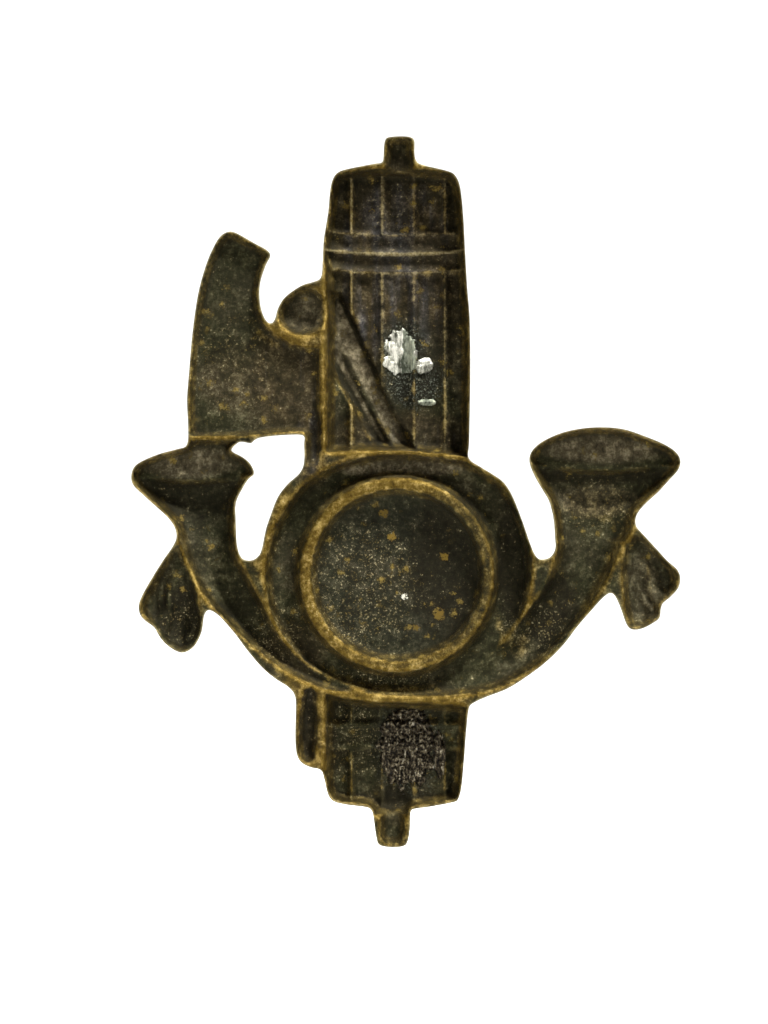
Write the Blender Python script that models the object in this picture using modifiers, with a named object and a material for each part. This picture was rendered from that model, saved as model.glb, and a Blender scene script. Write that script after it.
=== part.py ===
"""Cap badge: a hunting horn and ring over a bundle of rods with an axe, die-struck in sheet brass.

The badge stands as it is worn: +Z runs up through the top finial, the decorated front faces -Y
and the hollow back faces +Y. Y = 0 is the plane of the back edge that lies on the cap, and the
origin is the centre of the round recess on that plane.
"""
import math

import bmesh
import bpy
from mathutils import Matrix, Vector

MM = 0.001

# ---------------------------------------------------------------- sheet and fits
SHEET = 0.45 * MM               # thickness of the brass sheet
SOLDER_GAP = 0.3 * MM           # clearance between a solder patch and the shell
RUN_OUT = 2.0 * MM              # how far every hollow runs out past the back plane

# ---------------------------------------------------------------- round recess and ring
ROUNDEL_RADIUS = 7.85 * MM
ROUNDEL_DEPTH = 1.5 * MM
ROUNDEL_WALL = 1.1 * MM         # width of the rounded wall around the recess
WALL_SHARE = 0.8                # part of the recess's depth that its wall takes
DISH_SHARE = 0.95               # part of it reached halfway to the centre
ARC_STEPS = 4                   # straight lines in a quarter circle
CREST_WIDTH = 1.05 * MM         # flat crest between the recess and the ring's hollow
RING_WIDTH = 3.1 * MM           # hollow of the ring, across
RING_DEPTH = 1.7 * MM

# ---------------------------------------------------------------- bundle of rods
BUNDLE_DEPTH = 2.35 * MM
BUNDLE_HALF_WIDTH = 6.4 * MM
BUNDLE_TOP = 36.9 * MM
BUNDLE_FOOT = -20.9 * MM
UPPER_START = 2.1 * MM          # from the ring's inner edge out to the foot of the upper rods
LOWER_START = 2.7 * MM          # from the ring's inner edge out to the top of the lower rods
CORNER_ROUND = 1.1 * MM
ROD_PITCH = 2.88 * MM
ROD_DEPTH = 2.8 * MM            # deepest line of the middle rods
ROD_RADIUS = 2.4 * MM
ROD_OVERLAP = 0.6 * MM           # how far the rods run under the ring
ROD_MIDDLE = -0.11 * MM          # where the middle rod lies across the bundle
ROD_SIDES = 20
ROD_TOP_INSET = 1.2 * MM        # from the bundle's top down to the rods' ends
ROD_FOOT_INSET = 0.8 * MM
SIDE_ROD_RADIUS = 1.05 * MM
SIDE_ROD_DEPTH = 2.5 * MM
SIDE_ROD_X = 4.7 * MM
SIDE_ROD_SHORTER = 3.4 * MM
SIDE_ROD_LIFT = 1.3 * MM        # how much further from the ring the outer rods end
UPPER_OVERLAP = 1.0 * MM        # how far the trough runs under the ring, above it and below it
LOWER_OVERLAP = 1.4 * MM
BAND_HEIGHT = 1.8 * MM
BAND_DEPTH = 3.05 * MM
BAND_CENTRES = (30.7 * MM, 28.95 * MM, -14.8 * MM)
BAND_SAG = 0.35 * MM            # how far a band's middle hangs below its ends
BAND_EDGE_INSET = 0.1           # from the trough's side, in millimetres: above the ring and below it
LOW_BAND_EDGE_INSET = 0.5
FINIAL_HALF_WIDTH = 1.15 * MM
FINIAL_DEPTH = 1.2 * MM
FINIAL_ROOT = 0.6 * MM          # how far a finial runs back into the bundle
TOP_FINIAL = 39.65 * MM
TOP_FINIAL_X = -0.15 * MM
FOOT_FINIAL = -24.45 * MM
FOOT_FINIAL_X = 0.4 * MM
# Corners of the bundle's ends, in millimetres: side (+1 is the axe's), inset from it, drop from the end.
TOP_CORNERS = (
    (1, 0.0, 5.9), (1, 0.9, 0.8), (1, 1.7, 0.2), (1, 5.4, -0.2), (-1, 4.8, -0.2), (-1, 1.5, 0.4),
    (-1, 0.9, 1.2), (-1, 0.2, 6.9), (-1, 0.0, 12.9),
)
FOOT_CORNERS = (
    (-1, 0.3, 6.9), (-1, 0.5, 4.9), (-1, 1.1, 0.7), (-1, 1.7, 0.1), (1, 5.4, -0.3), (1, 1.6, 0.0),
    (1, 0.9, 0.6), (1, 0.2, 3.5), (1, 0.1, 6.9),
)

# ---------------------------------------------------------------- axe
BLADE_DEPTH = 0.95 * MM
BLADE_ROUND = 0.45 * MM
POLL_RADIUS = 2.15 * MM
POLL_DEPTH = 1.5 * MM
POLL_X = 8.75 * MM
POLL_Z = 24.1 * MM
# Each station is the centre (x, z), the half width and the depth of the hollow, in millimetres.
HAFT = {
    "haft_above_ring": ((7.8, 14.0, 0.6, 0.8), (7.8, 12.0, 0.6, 0.8), (7.9, 10.4, 0.6, 0.8),
                        (8.1, 9.4, 0.36, 0.48)),
    "haft_below_ring": ((8.0, -10.6, 0.36, 0.48), (8.1, -11.6, 0.6, 0.8), (8.1, -14.2, 0.6, 0.8),
                        (8.15, -15.7, 0.78, 0.88), (8.1, -16.9, 0.48, 0.56)),
}

# ---------------------------------------------------------------- horn and tassels, stations as above
AXE_SIDE_HORN = (
    (18.9, 9.4, 5.2, 2.5), (18.8, 7.7, 4.5, 2.9), (18.3, 6.4, 3.5, 2.6), (17.7, 4.8, 2.65, 2.3),
    (17.2, 3.0, 2.4, 2.1), (16.4, 0.6, 2.1, 2.0), (15.1, -1.8, 1.95, 1.9), (13.4, -4.2, 1.5, 1.7),
    (11.2, -6.8, 1.1, 1.4), (8.6, -8.8, 0.9, 1.2), (5.6, -9.9, 0.8, 1.1), (3.6, -10.2, 0.5, 0.9),
)
FREE_SIDE_HORN = (
    (-19.0, 10.5, 6.4, 2.7), (-18.9, 8.6, 5.6, 3.1), (-18.5, 6.9, 4.4, 2.9), (-18.1, 5.0, 3.4, 2.6),
    (-17.5, 3.2, 2.85, 2.4), (-16.7, 0.6, 2.3, 2.1), (-15.2, -2.2, 2.1, 2.0), (-13.1, -5.0, 2.0, 1.9),
    (-10.6, -7.5, 1.8, 1.8), (-7.4, -9.2, 1.3, 1.5), (-3.6, -10.1, 0.9, 1.2), (1.2, -10.3, 0.6, 1.0),
)
AXE_SIDE_MOUTH = (
    (13.7, 9.5, 0.3, 0.3), (14.7, 9.9, 0.9, 0.9), (16.5, 10.1, 1.3, 1.3), (18.8, 10.15, 1.4, 1.4),
    (21.2, 9.9, 1.25, 1.2), (22.9, 9.6, 0.8, 0.9), (23.6, 9.5, 0.3, 0.3),
)
FREE_SIDE_MOUTH = (
    (-12.5, 10.9, 0.3, 0.3), (-13.6, 11.2, 0.9, 0.9), (-15.8, 11.4, 1.5, 1.4), (-18.8, 11.4, 1.8, 1.6),
    (-22.0, 11.2, 1.5, 1.4), (-24.4, 10.9, 0.8, 0.9), (-25.4, 10.7, 0.3, 0.3),
)
TASSEL_LOBES = {
    "axe_side_outer_lobe": ((20.6, 2.2, 0.4, 0.4), (21.3, 0.6, 1.0, 1.0), (22.2, -1.4, 1.25, 1.3),
                            (22.3, -2.9, 1.0, 1.1), (22.0, -3.8, 0.4, 0.4)),
    "axe_side_inner_lobe": ((19.2, -0.4, 0.4, 0.4), (19.5, -1.8, 1.3, 1.1), (19.7, -4.0, 1.5, 1.3),
                            (19.8, -5.6, 1.0, 1.1), (19.8, -6.4, 0.4, 0.4)),
    "free_side_outer_lobe": ((-22.4, 2.9, 0.4, 0.4), (-23.3, 1.6, 0.9, 0.9), (-24.3, 0.2, 1.15, 1.1),
                             (-24.2, -1.1, 0.9, 0.9), (-23.8, -1.9, 0.4, 0.4)),
    "free_side_inner_lobe": ((-21.3, 2.2, 0.4, 0.4), (-21.9, 0.4, 1.1, 1.0), (-22.3, -1.6, 1.45, 1.3),
                             (-22.2, -3.3, 1.2, 1.1), (-22.0, -4.3, 0.4, 0.4)),
}
STRAPS = {
    "long_strap": ((6.0, 24.8, 0.5, 1.4), (5.3, 23.0, 1.0, 2.6), (4.2, 21.0, 1.2, 3.0),
                   (2.25, 17.0, 1.05, 3.1), (-0.1, 12.3, 0.8, 3.0), (-0.6, 11.2, 0.6, 2.4)),
    "short_strap": ((6.0, 19.9, 0.4, 1.4), (5.1, 18.2, 0.85, 2.7), (3.3, 15.0, 0.8, 3.0),
                    (1.5, 12.0, 0.75, 2.9), (1.1, 11.2, 0.5, 2.4)),
}

# ---------------------------------------------------------------- flat outlines, (x, z) in millimetres
BLADE_OUTLINE = (
    ((18.7, 12.5), "corner"), ((18.8, 16.0), "round"), ((18.6, 20.6), "round"), ((17.5, 27.3), "round"),
    ((15.9, 30.7), "round"), ((15.0, 31.0), "round"), ((12.1, 29.4), "corner"), ((12.8, 27.2), "round"),
    ((13.0, 25.5), "round"), ((12.3, 23.1), "round"), ((9.7, 21.2), "round"), ((7.0, 20.8), "corner"),
    ((7.1, 13.1), "corner"), ((10.0, 13.0), "corner"), ((13.5, 12.7), "corner"),
)
# The flat flange that joins the forms; the forms reach past it wherever their walls are the edge.
WEB_OUTLINE = (
    (7.3, 27.1), (5.5, 28.2), (-5.0, 28.2), (-5.0, 12.0), (-8.6, 8.4), (-11.6, 2.2), (-12.6, 1.6),
    (-13.8, 1.5), (-14.6, 2.3), (-18.0, 4.2), (-20.6, 4.1), (-21.9, 3.9), (-21.5, 1.0), (-20.5, -1.8),
    (-19.5, -1.7), (-18.8, -2.2), (-14.5, -5.0), (-9.2, -10.5), (-6.6, -11.9), (-5.0, -13.0),
    (5.0, -19.0), (6.5, -17.7), (7.9, -17.5), (9.0, -16.6), (9.2, -11.4), (9.4, -10.4), (12.6, -7.0),
    (16.6, -3.7), (17.4, -3.2), (18.4, -3.6), (20.4, 0.0), (20.6, 2.3), (20.1, 3.3), (17.8, 3.0),
    (15.0, 2.6), (14.0, 1.5), (12.9, 1.4), (12.1, 2.8), (11.6, 5.2), (10.4, 7.9), (8.6, 9.7),
    (8.5, 13.3), (13.9, 13.0), (14.7, 12.0), (15.2, 11.4), (15.6, 10.4), (19.3, 10.4), (19.1, 11.8),
    (18.9, 13.4), (12.3, 20.4), (12.5, 21.8), (11.6, 23.0), (10.7, 22.7), (9.4, 23.2),
)

# ---------------------------------------------------------------- solder left by the two lost fixings
# Centre (x, z), half width, half height, and how far the patch rises from the rods' deepest line.
SOLDER_PATCHES = {
    "upper_solder_pad": (-0.15, 20.3, 1.25, 2.2, 0.75),
    "upper_solder_crumb": (-2.6, 19.2, 0.7, 0.8, 0.7),
    "upper_solder_bead": (-2.75, 15.85, 0.9, 0.4, 0.7),
    "lower_solder_pad": (-0.75, -16.4, 2.35, 3.6, 1.0),
    "lower_solder_bead": (-3.9, -17.0, 0.45, 2.3, 0.95),
}

RING_SIDES = 10                 # facets around a hollow's section
STEPS_PER_SPAN = 2              # sections from one station to the next
RING_STEPS = 5
# The ring's width on each eighth of its turn, from the axe's side round by the top.
RING_WIDTHS = (1.0, 1.0, 0.75, 1.15, 1.1, 1.0, 0.7, 0.95)
ROUND_SIDES = 40
TRIM_SPAN = 4.0                 # the block behind the back plane, in heights of the badge


def clear_scene():
    """Empty the file of the objects it opened with."""
    for old in list(bpy.data.objects):
        bpy.data.objects.remove(old, do_unlink=True)


def new_collection(name):
    collection = bpy.data.collections.new(name)
    bpy.context.scene.collection.children.link(collection)
    return collection


def new_material(name, color, metallic, roughness):
    material = bpy.data.materials.new(name)
    material.use_nodes = True
    shader = material.node_tree.nodes["Principled BSDF"]
    shader.inputs["Base Color"].default_value = (*color, 1.0)
    shader.inputs["Metallic"].default_value = metallic
    shader.inputs["Roughness"].default_value = roughness
    return material


def new_object(name, mesh, collection):
    obj = bpy.data.objects.new(name, mesh)
    collection.objects.link(obj)
    return obj


def hide_as_cutter(obj):
    obj.hide_render = True
    obj.display_type = "WIRE"
    return obj


def blend(before, start, end, after, t):
    """Catmull-Rom value at t between two stations, read from their neighbours."""
    return 0.5 * (2.0 * start + (end - before) * t
                  + (2.0 * before - 5.0 * start + 4.0 * end - after) * t * t
                  + (3.0 * start - before - 3.0 * end + after) * t ** 3)


def smooth_stations(stations, closed, steps):
    """Stations in metres, with the steps between them filled in along a smooth curve."""
    points = [Vector(station) * MM for station in stations]
    count = len(points)
    spans = count if closed else count - 1
    dense = []
    for span in range(spans):
        if closed:
            around = [points[(span + shift) % count] for shift in (-1, 0, 1, 2)]
        else:
            around = [points[min(max(span + shift, 0), count - 1)] for shift in (-1, 0, 1, 2)]
        for step in range(steps):
            dense.append(blend(*around, step / steps))
    if not closed:
        dense.append(points[-1])
    return dense


def channel(name, stations, grow, collection, closed=False, steps=STEPS_PER_SPAN):
    """A hollow's solid: elliptical sections lofted along a line that lies on the back plane."""
    dense = smooth_stations(stations, closed, steps)
    count = len(dense)
    bm = bmesh.new()
    rings = []
    for index, (x, z, half_width, depth) in enumerate(dense):
        after = dense[(index + 1) % count] if closed else dense[min(index + 1, count - 1)]
        before = dense[index - 1] if closed else dense[max(index - 1, 0)]
        along = Vector((after[0] - before[0], 0.0, after[1] - before[1])).normalized()
        across = Vector((along.z, 0.0, -along.x))
        if not closed and index in (0, count - 1):
            beyond = grow if index else -grow
            x += along.x * beyond
            z += along.z * beyond
        facing = Matrix((across, (0.0, 1.0, 0.0), along)).transposed().to_4x4()
        place = Matrix.Translation((x, 0.0, z)) @ facing
        size = Matrix.Diagonal((half_width + grow, depth + grow, 1.0, 1.0))
        turn = Matrix.Rotation(math.pi / RING_SIDES, 4, "Z")
        ring = bmesh.ops.create_circle(bm, segments=RING_SIDES, radius=1.0, matrix=place @ size @ turn)
        rings.append(ring["verts"])
    pairs = list(zip(rings, rings[1:]))
    if closed:
        pairs.append((rings[-1], rings[0]))
    for low, high in pairs:
        edges = {edge for vert in low + high for edge in vert.link_edges
                 if all(end in low for end in edge.verts) or all(end in high for end in edge.verts)}
        bmesh.ops.bridge_loops(bm, edges=list(edges))
    if not closed:
        for ring in (rings[0], rings[-1]):
            bm.faces.new(ring)
    bmesh.ops.recalc_face_normals(bm, faces=bm.faces)
    mesh = bpy.data.meshes.new(name)
    bm.to_mesh(mesh)
    bm.free()
    mesh.shade_smooth()
    return new_object(name, mesh, collection)


def turned(name, profile, place, collection):
    """A profile of (radius, y) pairs turned about the Y axis through place."""
    bm = bmesh.new()
    verts = [bm.verts.new((radius, 0.0, -y)) for radius, y in reversed(profile)]
    for start, end in zip(verts, verts[1:]):
        bm.edges.new((start, end))
    mesh = bpy.data.meshes.new(name)
    bm.to_mesh(mesh)
    bm.free()
    obj = new_object(name, mesh, collection)
    screw = obj.modifiers.new("turn", "SCREW")
    screw.axis = "Z"
    screw.steps = ROUND_SIDES
    screw.render_steps = ROUND_SIDES
    screw.use_merge_vertices = True
    screw.merge_threshold = 0.01 * MM
    obj.rotation_euler = (math.radians(90.0), 0.0, 0.0)
    obj.location = place
    return obj


def mesh_of_curve(curve_object, collection):
    """The curve's evaluated solid as a mesh object, with its caps welded on."""
    bpy.context.view_layer.update()
    evaluated = curve_object.evaluated_get(bpy.context.evaluated_depsgraph_get())
    mesh = bpy.data.meshes.new_from_object(evaluated)
    bm = bmesh.new()
    bm.from_mesh(mesh)
    bmesh.ops.remove_doubles(bm, verts=bm.verts, dist=0.002 * MM)
    bmesh.ops.recalc_face_normals(bm, faces=bm.faces)
    bm.to_mesh(mesh)
    bm.free()
    name = curve_object.name
    place = curve_object.matrix_world.copy()
    bpy.data.objects.remove(curve_object, do_unlink=True)
    obj = new_object(name, mesh, collection)
    obj.matrix_world = place
    return obj


def plate(name, outline, front, back, collection, grow=0.0):
    """A flat outline between two depths: points with a kind are round or sharp, others sharp."""
    curve = bpy.data.curves.new(name, "CURVE")
    curve.dimensions = "2D"
    curve.fill_mode = "BOTH"
    curve.resolution_u = 5
    curve.extrude = (back - front) / 2.0
    curve.offset = grow
    spline = curve.splines.new("BEZIER")
    spline.bezier_points.add(len(outline) - 1)
    for point, item in zip(spline.bezier_points, outline):
        (x, z), kind = item if item[1] in ("round", "corner") else (item, "corner")
        point.co = (x * MM, z * MM, 0.0)
        handle = "AUTO" if kind == "round" else "VECTOR"
        point.handle_left_type = handle
        point.handle_right_type = handle
    spline.use_cyclic_u = True
    obj = new_object(name, curve, collection)
    obj.rotation_euler = (math.radians(90.0), 0.0, 0.0)
    obj.location = (0.0, (front + back) / 2.0, 0.0)
    return mesh_of_curve(obj, collection)


def soften(obj, width, segments):
    """Round the sharp edges of a plate or a prism."""
    bevel = obj.modifiers.new("round", "BEVEL")
    bevel.width = width
    bevel.segments = segments
    bevel.limit_method = "ANGLE"
    bevel.angle_limit = math.radians(50.0)
    return obj


def combine(target, operation, collection):
    boolean = target.modifiers.new(operation.lower(), "BOOLEAN")
    boolean.operation = operation
    boolean.solver = "MANIFOLD"
    boolean.operand_type = "COLLECTION"
    boolean.collection = collection
    return boolean


def roundel(grow, collection):
    """The recess in the middle: a shallow dish with a rounded wall."""
    radius = ROUNDEL_RADIUS + grow
    depth = ROUNDEL_DEPTH + grow
    profile = [(0.0, RUN_OUT), (radius, RUN_OUT)]
    for step in range(ARC_STEPS + 1):
        turn = math.radians(90.0 * step / ARC_STEPS)
        profile.append((radius - ROUNDEL_WALL * (1.0 - math.cos(turn)),
                        -WALL_SHARE * depth * math.sin(turn)))
    profile.append((radius / 2.0, -DISH_SHARE * depth))
    profile.append((0.0, -depth))
    return turned("roundel", profile, (0.0, 0.0, 0.0), collection)


def ring(grow, collection):
    """The horn's coil around the recess; it bulges on the free side and thins at top and bottom."""
    inner = ROUNDEL_RADIUS + CREST_WIDTH
    stations = []
    for index, factor in enumerate(RING_WIDTHS):
        turn = 2.0 * math.pi * index / len(RING_WIDTHS)
        half = RING_WIDTH * factor / 2.0
        reach = inner + half
        stations.append((reach * math.cos(turn) / MM, reach * math.sin(turn) / MM, half / MM,
                         RING_DEPTH / MM))
    return channel("ring", stations, grow, collection, closed=True, steps=RING_STEPS)


def bundle_body(grow, collection):
    """The trough of the bundle, above the ring and below the horn, without its rods."""
    wide = BUNDLE_HALF_WIDTH / MM
    top = BUNDLE_TOP / MM
    foot = BUNDLE_FOOT / MM
    ring_edge = ROUNDEL_RADIUS + CREST_WIDTH
    above_ring = (ring_edge + UPPER_START - UPPER_OVERLAP) / MM
    under_ring = (LOWER_OVERLAP - ring_edge - LOWER_START) / MM
    upper = [(side * (wide - inset), top - drop) for side, inset, drop in TOP_CORNERS]
    upper += [(-wide, above_ring), (wide, above_ring)]
    lower = [(side * (wide - inset), foot + rise) for side, inset, rise in FOOT_CORNERS]
    lower += [(wide - TOP_CORNERS[0][1], under_ring), (-wide, under_ring)]
    for name, outline in (("upper_bundle", upper), ("lower_bundle", lower)):
        body = plate(name, outline, -BUNDLE_DEPTH - grow, RUN_OUT, collection, grow)
        soften(body, CORNER_ROUND, 3)


def rods(grow, collection):
    """Five rods side by side, ending on the ring's curve; the outer two are thinner and shorter."""
    ring_edge = ROUNDEL_RADIUS + CREST_WIDTH
    for index in range(-2, 3):
        side = abs(index) == 2
        radius = SIDE_ROD_RADIUS if side else ROD_RADIUS
        deepest = SIDE_ROD_DEPTH if side else ROD_DEPTH
        shorter = SIDE_ROD_SHORTER if side else 0.0
        lift = SIDE_ROD_LIFT if side else 0.0
        x = math.copysign(SIDE_ROD_X, index) if side else ROD_MIDDLE + index * ROD_PITCH
        over_ring = math.sqrt((ring_edge + UPPER_START - ROD_OVERLAP) ** 2 - x ** 2) + lift
        under_ring = -math.sqrt((ring_edge + LOWER_START - ROD_OVERLAP) ** 2 - x ** 2) - lift
        reaches = (("upper", over_ring, BUNDLE_TOP - ROD_TOP_INSET - shorter),
                   ("lower", BUNDLE_FOOT + ROD_FOOT_INSET + shorter, under_ring))
        for part, foot, top in reaches:
            bpy.ops.mesh.primitive_cylinder_add(
                vertices=ROD_SIDES, radius=radius + grow, depth=top - foot + 2.0 * grow,
                location=(x, radius - deepest, (foot + top) / 2.0))
            rod = bpy.context.object
            rod.name = f"{part}_rod_{index + 3}"
            move_to(rod, collection)


def move_to(obj, collection):
    for owner in list(obj.users_collection):
        owner.objects.unlink(obj)
    collection.objects.link(obj)


def bands(grow, collection):
    """The lashings around the bundle: shallow hollows that run across it and sag a little."""
    half = BAND_HEIGHT / 2.0 / MM
    wide = BUNDLE_HALF_WIDTH / MM
    depth = BAND_DEPTH / MM
    sag = BAND_SAG / MM
    for number, height in enumerate(BAND_CENTRES):
        z = height / MM
        edge = wide - (LOW_BAND_EDGE_INSET if z < 0.0 else BAND_EDGE_INSET)
        stations = ((edge, z, 0.7 * half, 0.3 * depth), (edge - 0.9, z, half, 0.85 * depth),
                    (edge / 2.0, z - 0.75 * sag, half, 0.95 * depth), (0.0, z - sag, half, depth),
                    (-edge / 2.0, z - 0.75 * sag, half, 0.95 * depth), (0.9 - edge, z, half, 0.85 * depth),
                    (-edge, z, 0.7 * half, 0.3 * depth))
        channel(f"band_{number + 1}", stations, grow, collection)


def finials(grow, collection):
    """The stubs of the bundle's core that stand out at its top and its foot."""
    half = FINIAL_HALF_WIDTH / MM
    depth = FINIAL_DEPTH / MM
    ends = (("top_finial", TOP_FINIAL_X, BUNDLE_TOP - FINIAL_ROOT, TOP_FINIAL),
            ("foot_finial", FOOT_FINIAL_X, BUNDLE_FOOT + FINIAL_ROOT, FOOT_FINIAL))
    for name, *place in ends:
        x, root, tip = (value / MM for value in place)
        out = math.copysign(1.0, tip - root)
        stations = ((x, root, 1.15 * half, 1.2 * depth), (x, (root + tip) / 2.0, half, depth),
                    (x, tip - 0.4 * out, 0.95 * half, 0.9 * depth), (x, tip, 0.6 * half, 0.4 * depth))
        channel(name, stations, grow, collection)


def axe(grow, collection):
    """The blade as a shallow pan, the round poll above it and the haft above and below the ring."""
    blade = plate("blade", BLADE_OUTLINE, -BLADE_DEPTH - grow, RUN_OUT, collection, grow)
    soften(blade, BLADE_ROUND, 2)
    radius = POLL_RADIUS + grow
    depth = POLL_DEPTH + grow
    profile = [(0.0, RUN_OUT), (radius, RUN_OUT)]
    for step in range(ARC_STEPS + 1):
        turn = math.radians(90.0 * step / ARC_STEPS)
        profile.append((radius * math.cos(turn), -depth * math.sin(turn)))
    turned("poll", profile, (POLL_X, 0.0, POLL_Z), collection)
    for name, stations in HAFT.items():
        channel(name, stations, grow, collection)


def horn(grow, collection):
    """Both bells with their tubes, the lens-shaped mouths and the tassels that hang outside them."""
    channel("axe_side_horn", AXE_SIDE_HORN, grow, collection)
    channel("free_side_horn", FREE_SIDE_HORN, grow, collection)
    channel("axe_side_mouth", AXE_SIDE_MOUTH, grow, collection)
    channel("free_side_mouth", FREE_SIDE_MOUTH, grow, collection)
    for name, stations in TASSEL_LOBES.items():
        channel(name, stations, grow, collection)


def every_form(grow, collection):
    """All the forms that the sheet is pressed over, each grown by the same amount."""
    roundel(grow, collection)
    ring(grow, collection)
    horn(grow, collection)
    axe(grow, collection)
    bundle_body(grow, collection)
    rods(grow, collection)
    bands(grow, collection)
    finials(grow, collection)
    for name, stations in STRAPS.items():
        channel(name, stations, grow, collection)
    for form in collection.objects:
        hide_as_cutter(form)


def struck_shell(parts, walls, hollows, trims, brass):
    """The badge itself: one sheet, so the grown forms less the same forms as they are."""
    every_form(SHEET, walls)
    every_form(0.0, hollows)
    span = TRIM_SPAN * (TOP_FINIAL - FOOT_FINIAL)
    bpy.ops.mesh.primitive_cube_add(size=span, location=(0.0, span / 2.0, 0.0))
    behind = bpy.context.object
    behind.name = "behind_the_back_plane"
    move_to(behind, trims)
    hide_as_cutter(behind)
    shell = plate("struck_shell", WEB_OUTLINE, -SHEET, RUN_OUT, parts)
    shell.data.materials.append(brass)
    combine(shell, "UNION", walls)
    combine(shell, "DIFFERENCE", trims)
    combine(shell, "DIFFERENCE", hollows)
    return shell


def solder_bed(collection):
    """What solder may fill: the bundle's hollows, drawn in by the clearance."""
    bpy.ops.mesh.primitive_cube_add(size=RUN_OUT, location=(0.0, RUN_OUT, 0.0))
    bed = bpy.context.object
    bed.name = "solder_bed"
    move_to(bed, collection)
    hide_as_cutter(bed)
    hollows = new_collection("bundle_hollows")
    bundle_body(-SOLDER_GAP, hollows)
    rods(-SOLDER_GAP, hollows)
    for hollow in hollows.objects:
        hide_as_cutter(hollow)
    combine(bed, "UNION", hollows)
    return bed


def solder_patch(name, place, bed, parts, solder):
    """Solder left in the hollow: a flattened blob that follows the rods beneath it."""
    x, z, half_width, half_height, rise = place
    bpy.ops.mesh.primitive_uv_sphere_add(segments=20, ring_count=10, radius=MM,
                                         location=(x * MM, -ROD_DEPTH, z * MM))
    patch = bpy.context.object
    patch.name = name
    patch.scale = (half_width, rise, half_height)
    bpy.ops.object.transform_apply(location=False, rotation=False, scale=True)
    patch.data.shade_smooth()
    patch.data.materials.append(solder)
    move_to(patch, parts)
    fit = patch.modifiers.new("fit", "BOOLEAN")
    fit.operation = "INTERSECT"
    fit.solver = "MANIFOLD"
    fit.object = bed
    return patch


def main():
    clear_scene()
    parts = new_collection("cap_badge")
    walls = new_collection("walls")
    hollows = new_collection("hollows")
    trims = new_collection("trims")
    brass = new_material("patinated_brass", (0.075, 0.062, 0.040), 0.85, 0.55)
    solder = new_material("solder", (0.42, 0.42, 0.38), 0.8, 0.5)
    struck_shell(parts, walls, hollows, trims, brass)
    bed = solder_bed(new_collection("solder_trims"))
    for name, place in SOLDER_PATCHES.items():
        solder_patch(name, place, bed, parts, solder)


main()
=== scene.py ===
# Struck brass cap badge seen from its hollow back: the sheet, the solder left on it, a studio bowl.
import math
import bpy
import numpy as np
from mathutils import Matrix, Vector, noise


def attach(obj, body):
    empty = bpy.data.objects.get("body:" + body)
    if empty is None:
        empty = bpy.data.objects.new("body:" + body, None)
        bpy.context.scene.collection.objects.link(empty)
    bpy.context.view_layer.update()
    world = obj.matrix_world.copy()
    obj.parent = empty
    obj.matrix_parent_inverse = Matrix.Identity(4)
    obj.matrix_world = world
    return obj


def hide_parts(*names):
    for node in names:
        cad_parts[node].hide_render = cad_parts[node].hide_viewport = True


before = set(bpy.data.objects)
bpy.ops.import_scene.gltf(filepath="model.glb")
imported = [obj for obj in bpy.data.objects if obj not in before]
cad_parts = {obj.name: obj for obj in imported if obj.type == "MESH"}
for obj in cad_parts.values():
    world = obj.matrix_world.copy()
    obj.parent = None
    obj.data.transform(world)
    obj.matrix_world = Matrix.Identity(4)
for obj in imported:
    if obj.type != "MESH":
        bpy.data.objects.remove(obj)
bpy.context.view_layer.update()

mm = 0.001


# small helpers

def deselectAll():
    if bpy.context.object and bpy.context.object.mode != "OBJECT":
        bpy.ops.object.mode_set(mode="OBJECT")
    bpy.ops.object.select_all(action="DESELECT")


def makeActive(piece):
    deselectAll()
    piece.select_set(True)
    bpy.context.view_layer.objects.active = piece


def deleteFaces(piece, unwanted):
    # unwanted has one true or false for each face
    bpy.ops.object.mode_set(mode="EDIT")
    bpy.ops.mesh.select_mode(type="FACE")
    bpy.ops.mesh.select_all(action="DESELECT")
    bpy.ops.object.mode_set(mode="OBJECT")
    piece.data.polygons.foreach_set("select", unwanted)
    bpy.ops.object.mode_set(mode="EDIT")
    bpy.ops.mesh.delete(type="FACE")
    bpy.ops.mesh.select_mode(type="VERT")
    bpy.ops.object.mode_set(mode="OBJECT")


def linearColour(code):
    channels = [int(code[start:start + 2], 16) / 255 for start in (1, 3, 5)]
    return tuple(c / 12.92 if c < 0.04045 else ((c + 0.055) / 1.055) ** 2.4 for c in channels) + (1.0,)


def addNode(tree, kind, settings=None, links=None):
    # a name is the node's own setting or one of its sockets, a number is a socket, and stops are the
    # colours of a ramp
    node = tree.nodes.new("ShaderNode" + kind)
    for name, value in (settings or {}).items():
        if name == "stops":
            while len(node.color_ramp.elements) < len(value):
                node.color_ramp.elements.new(0.5)
            for element, (position, colour) in zip(node.color_ramp.elements, value):
                element.position = position
                element.color = linearColour(colour)
        elif isinstance(name, str) and hasattr(node, name):
            setattr(node, name, value)
        else:
            node.inputs[name].default_value = value
    for name, source in (links or {}).items():
        tree.links.new(source, node.inputs[name])
    return node


def smoothLine(points, steps, closed=False):
    # Catmull-Rom curve through the points, so few points give a round line
    points = np.array(points, float)
    count = len(points)
    line = []
    for span in range(count if closed else count - 1):
        if closed:
            a, b, c, d = (points[(span + shift) % count] for shift in (-1, 0, 1, 2))
        else:
            a, b, c, d = (points[min(max(span + shift, 0), count - 1)] for shift in (-1, 0, 1, 2))
        for t in np.arange(steps) / steps:
            line.append(0.5 * (2 * b + (c - a) * t + (2 * a - 5 * b + 4 * c - d) * t * t
                               + (3 * b - a - 3 * c + d) * t ** 3))
    if not closed:
        line.append(points[-1])
    return np.array(line)


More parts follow.
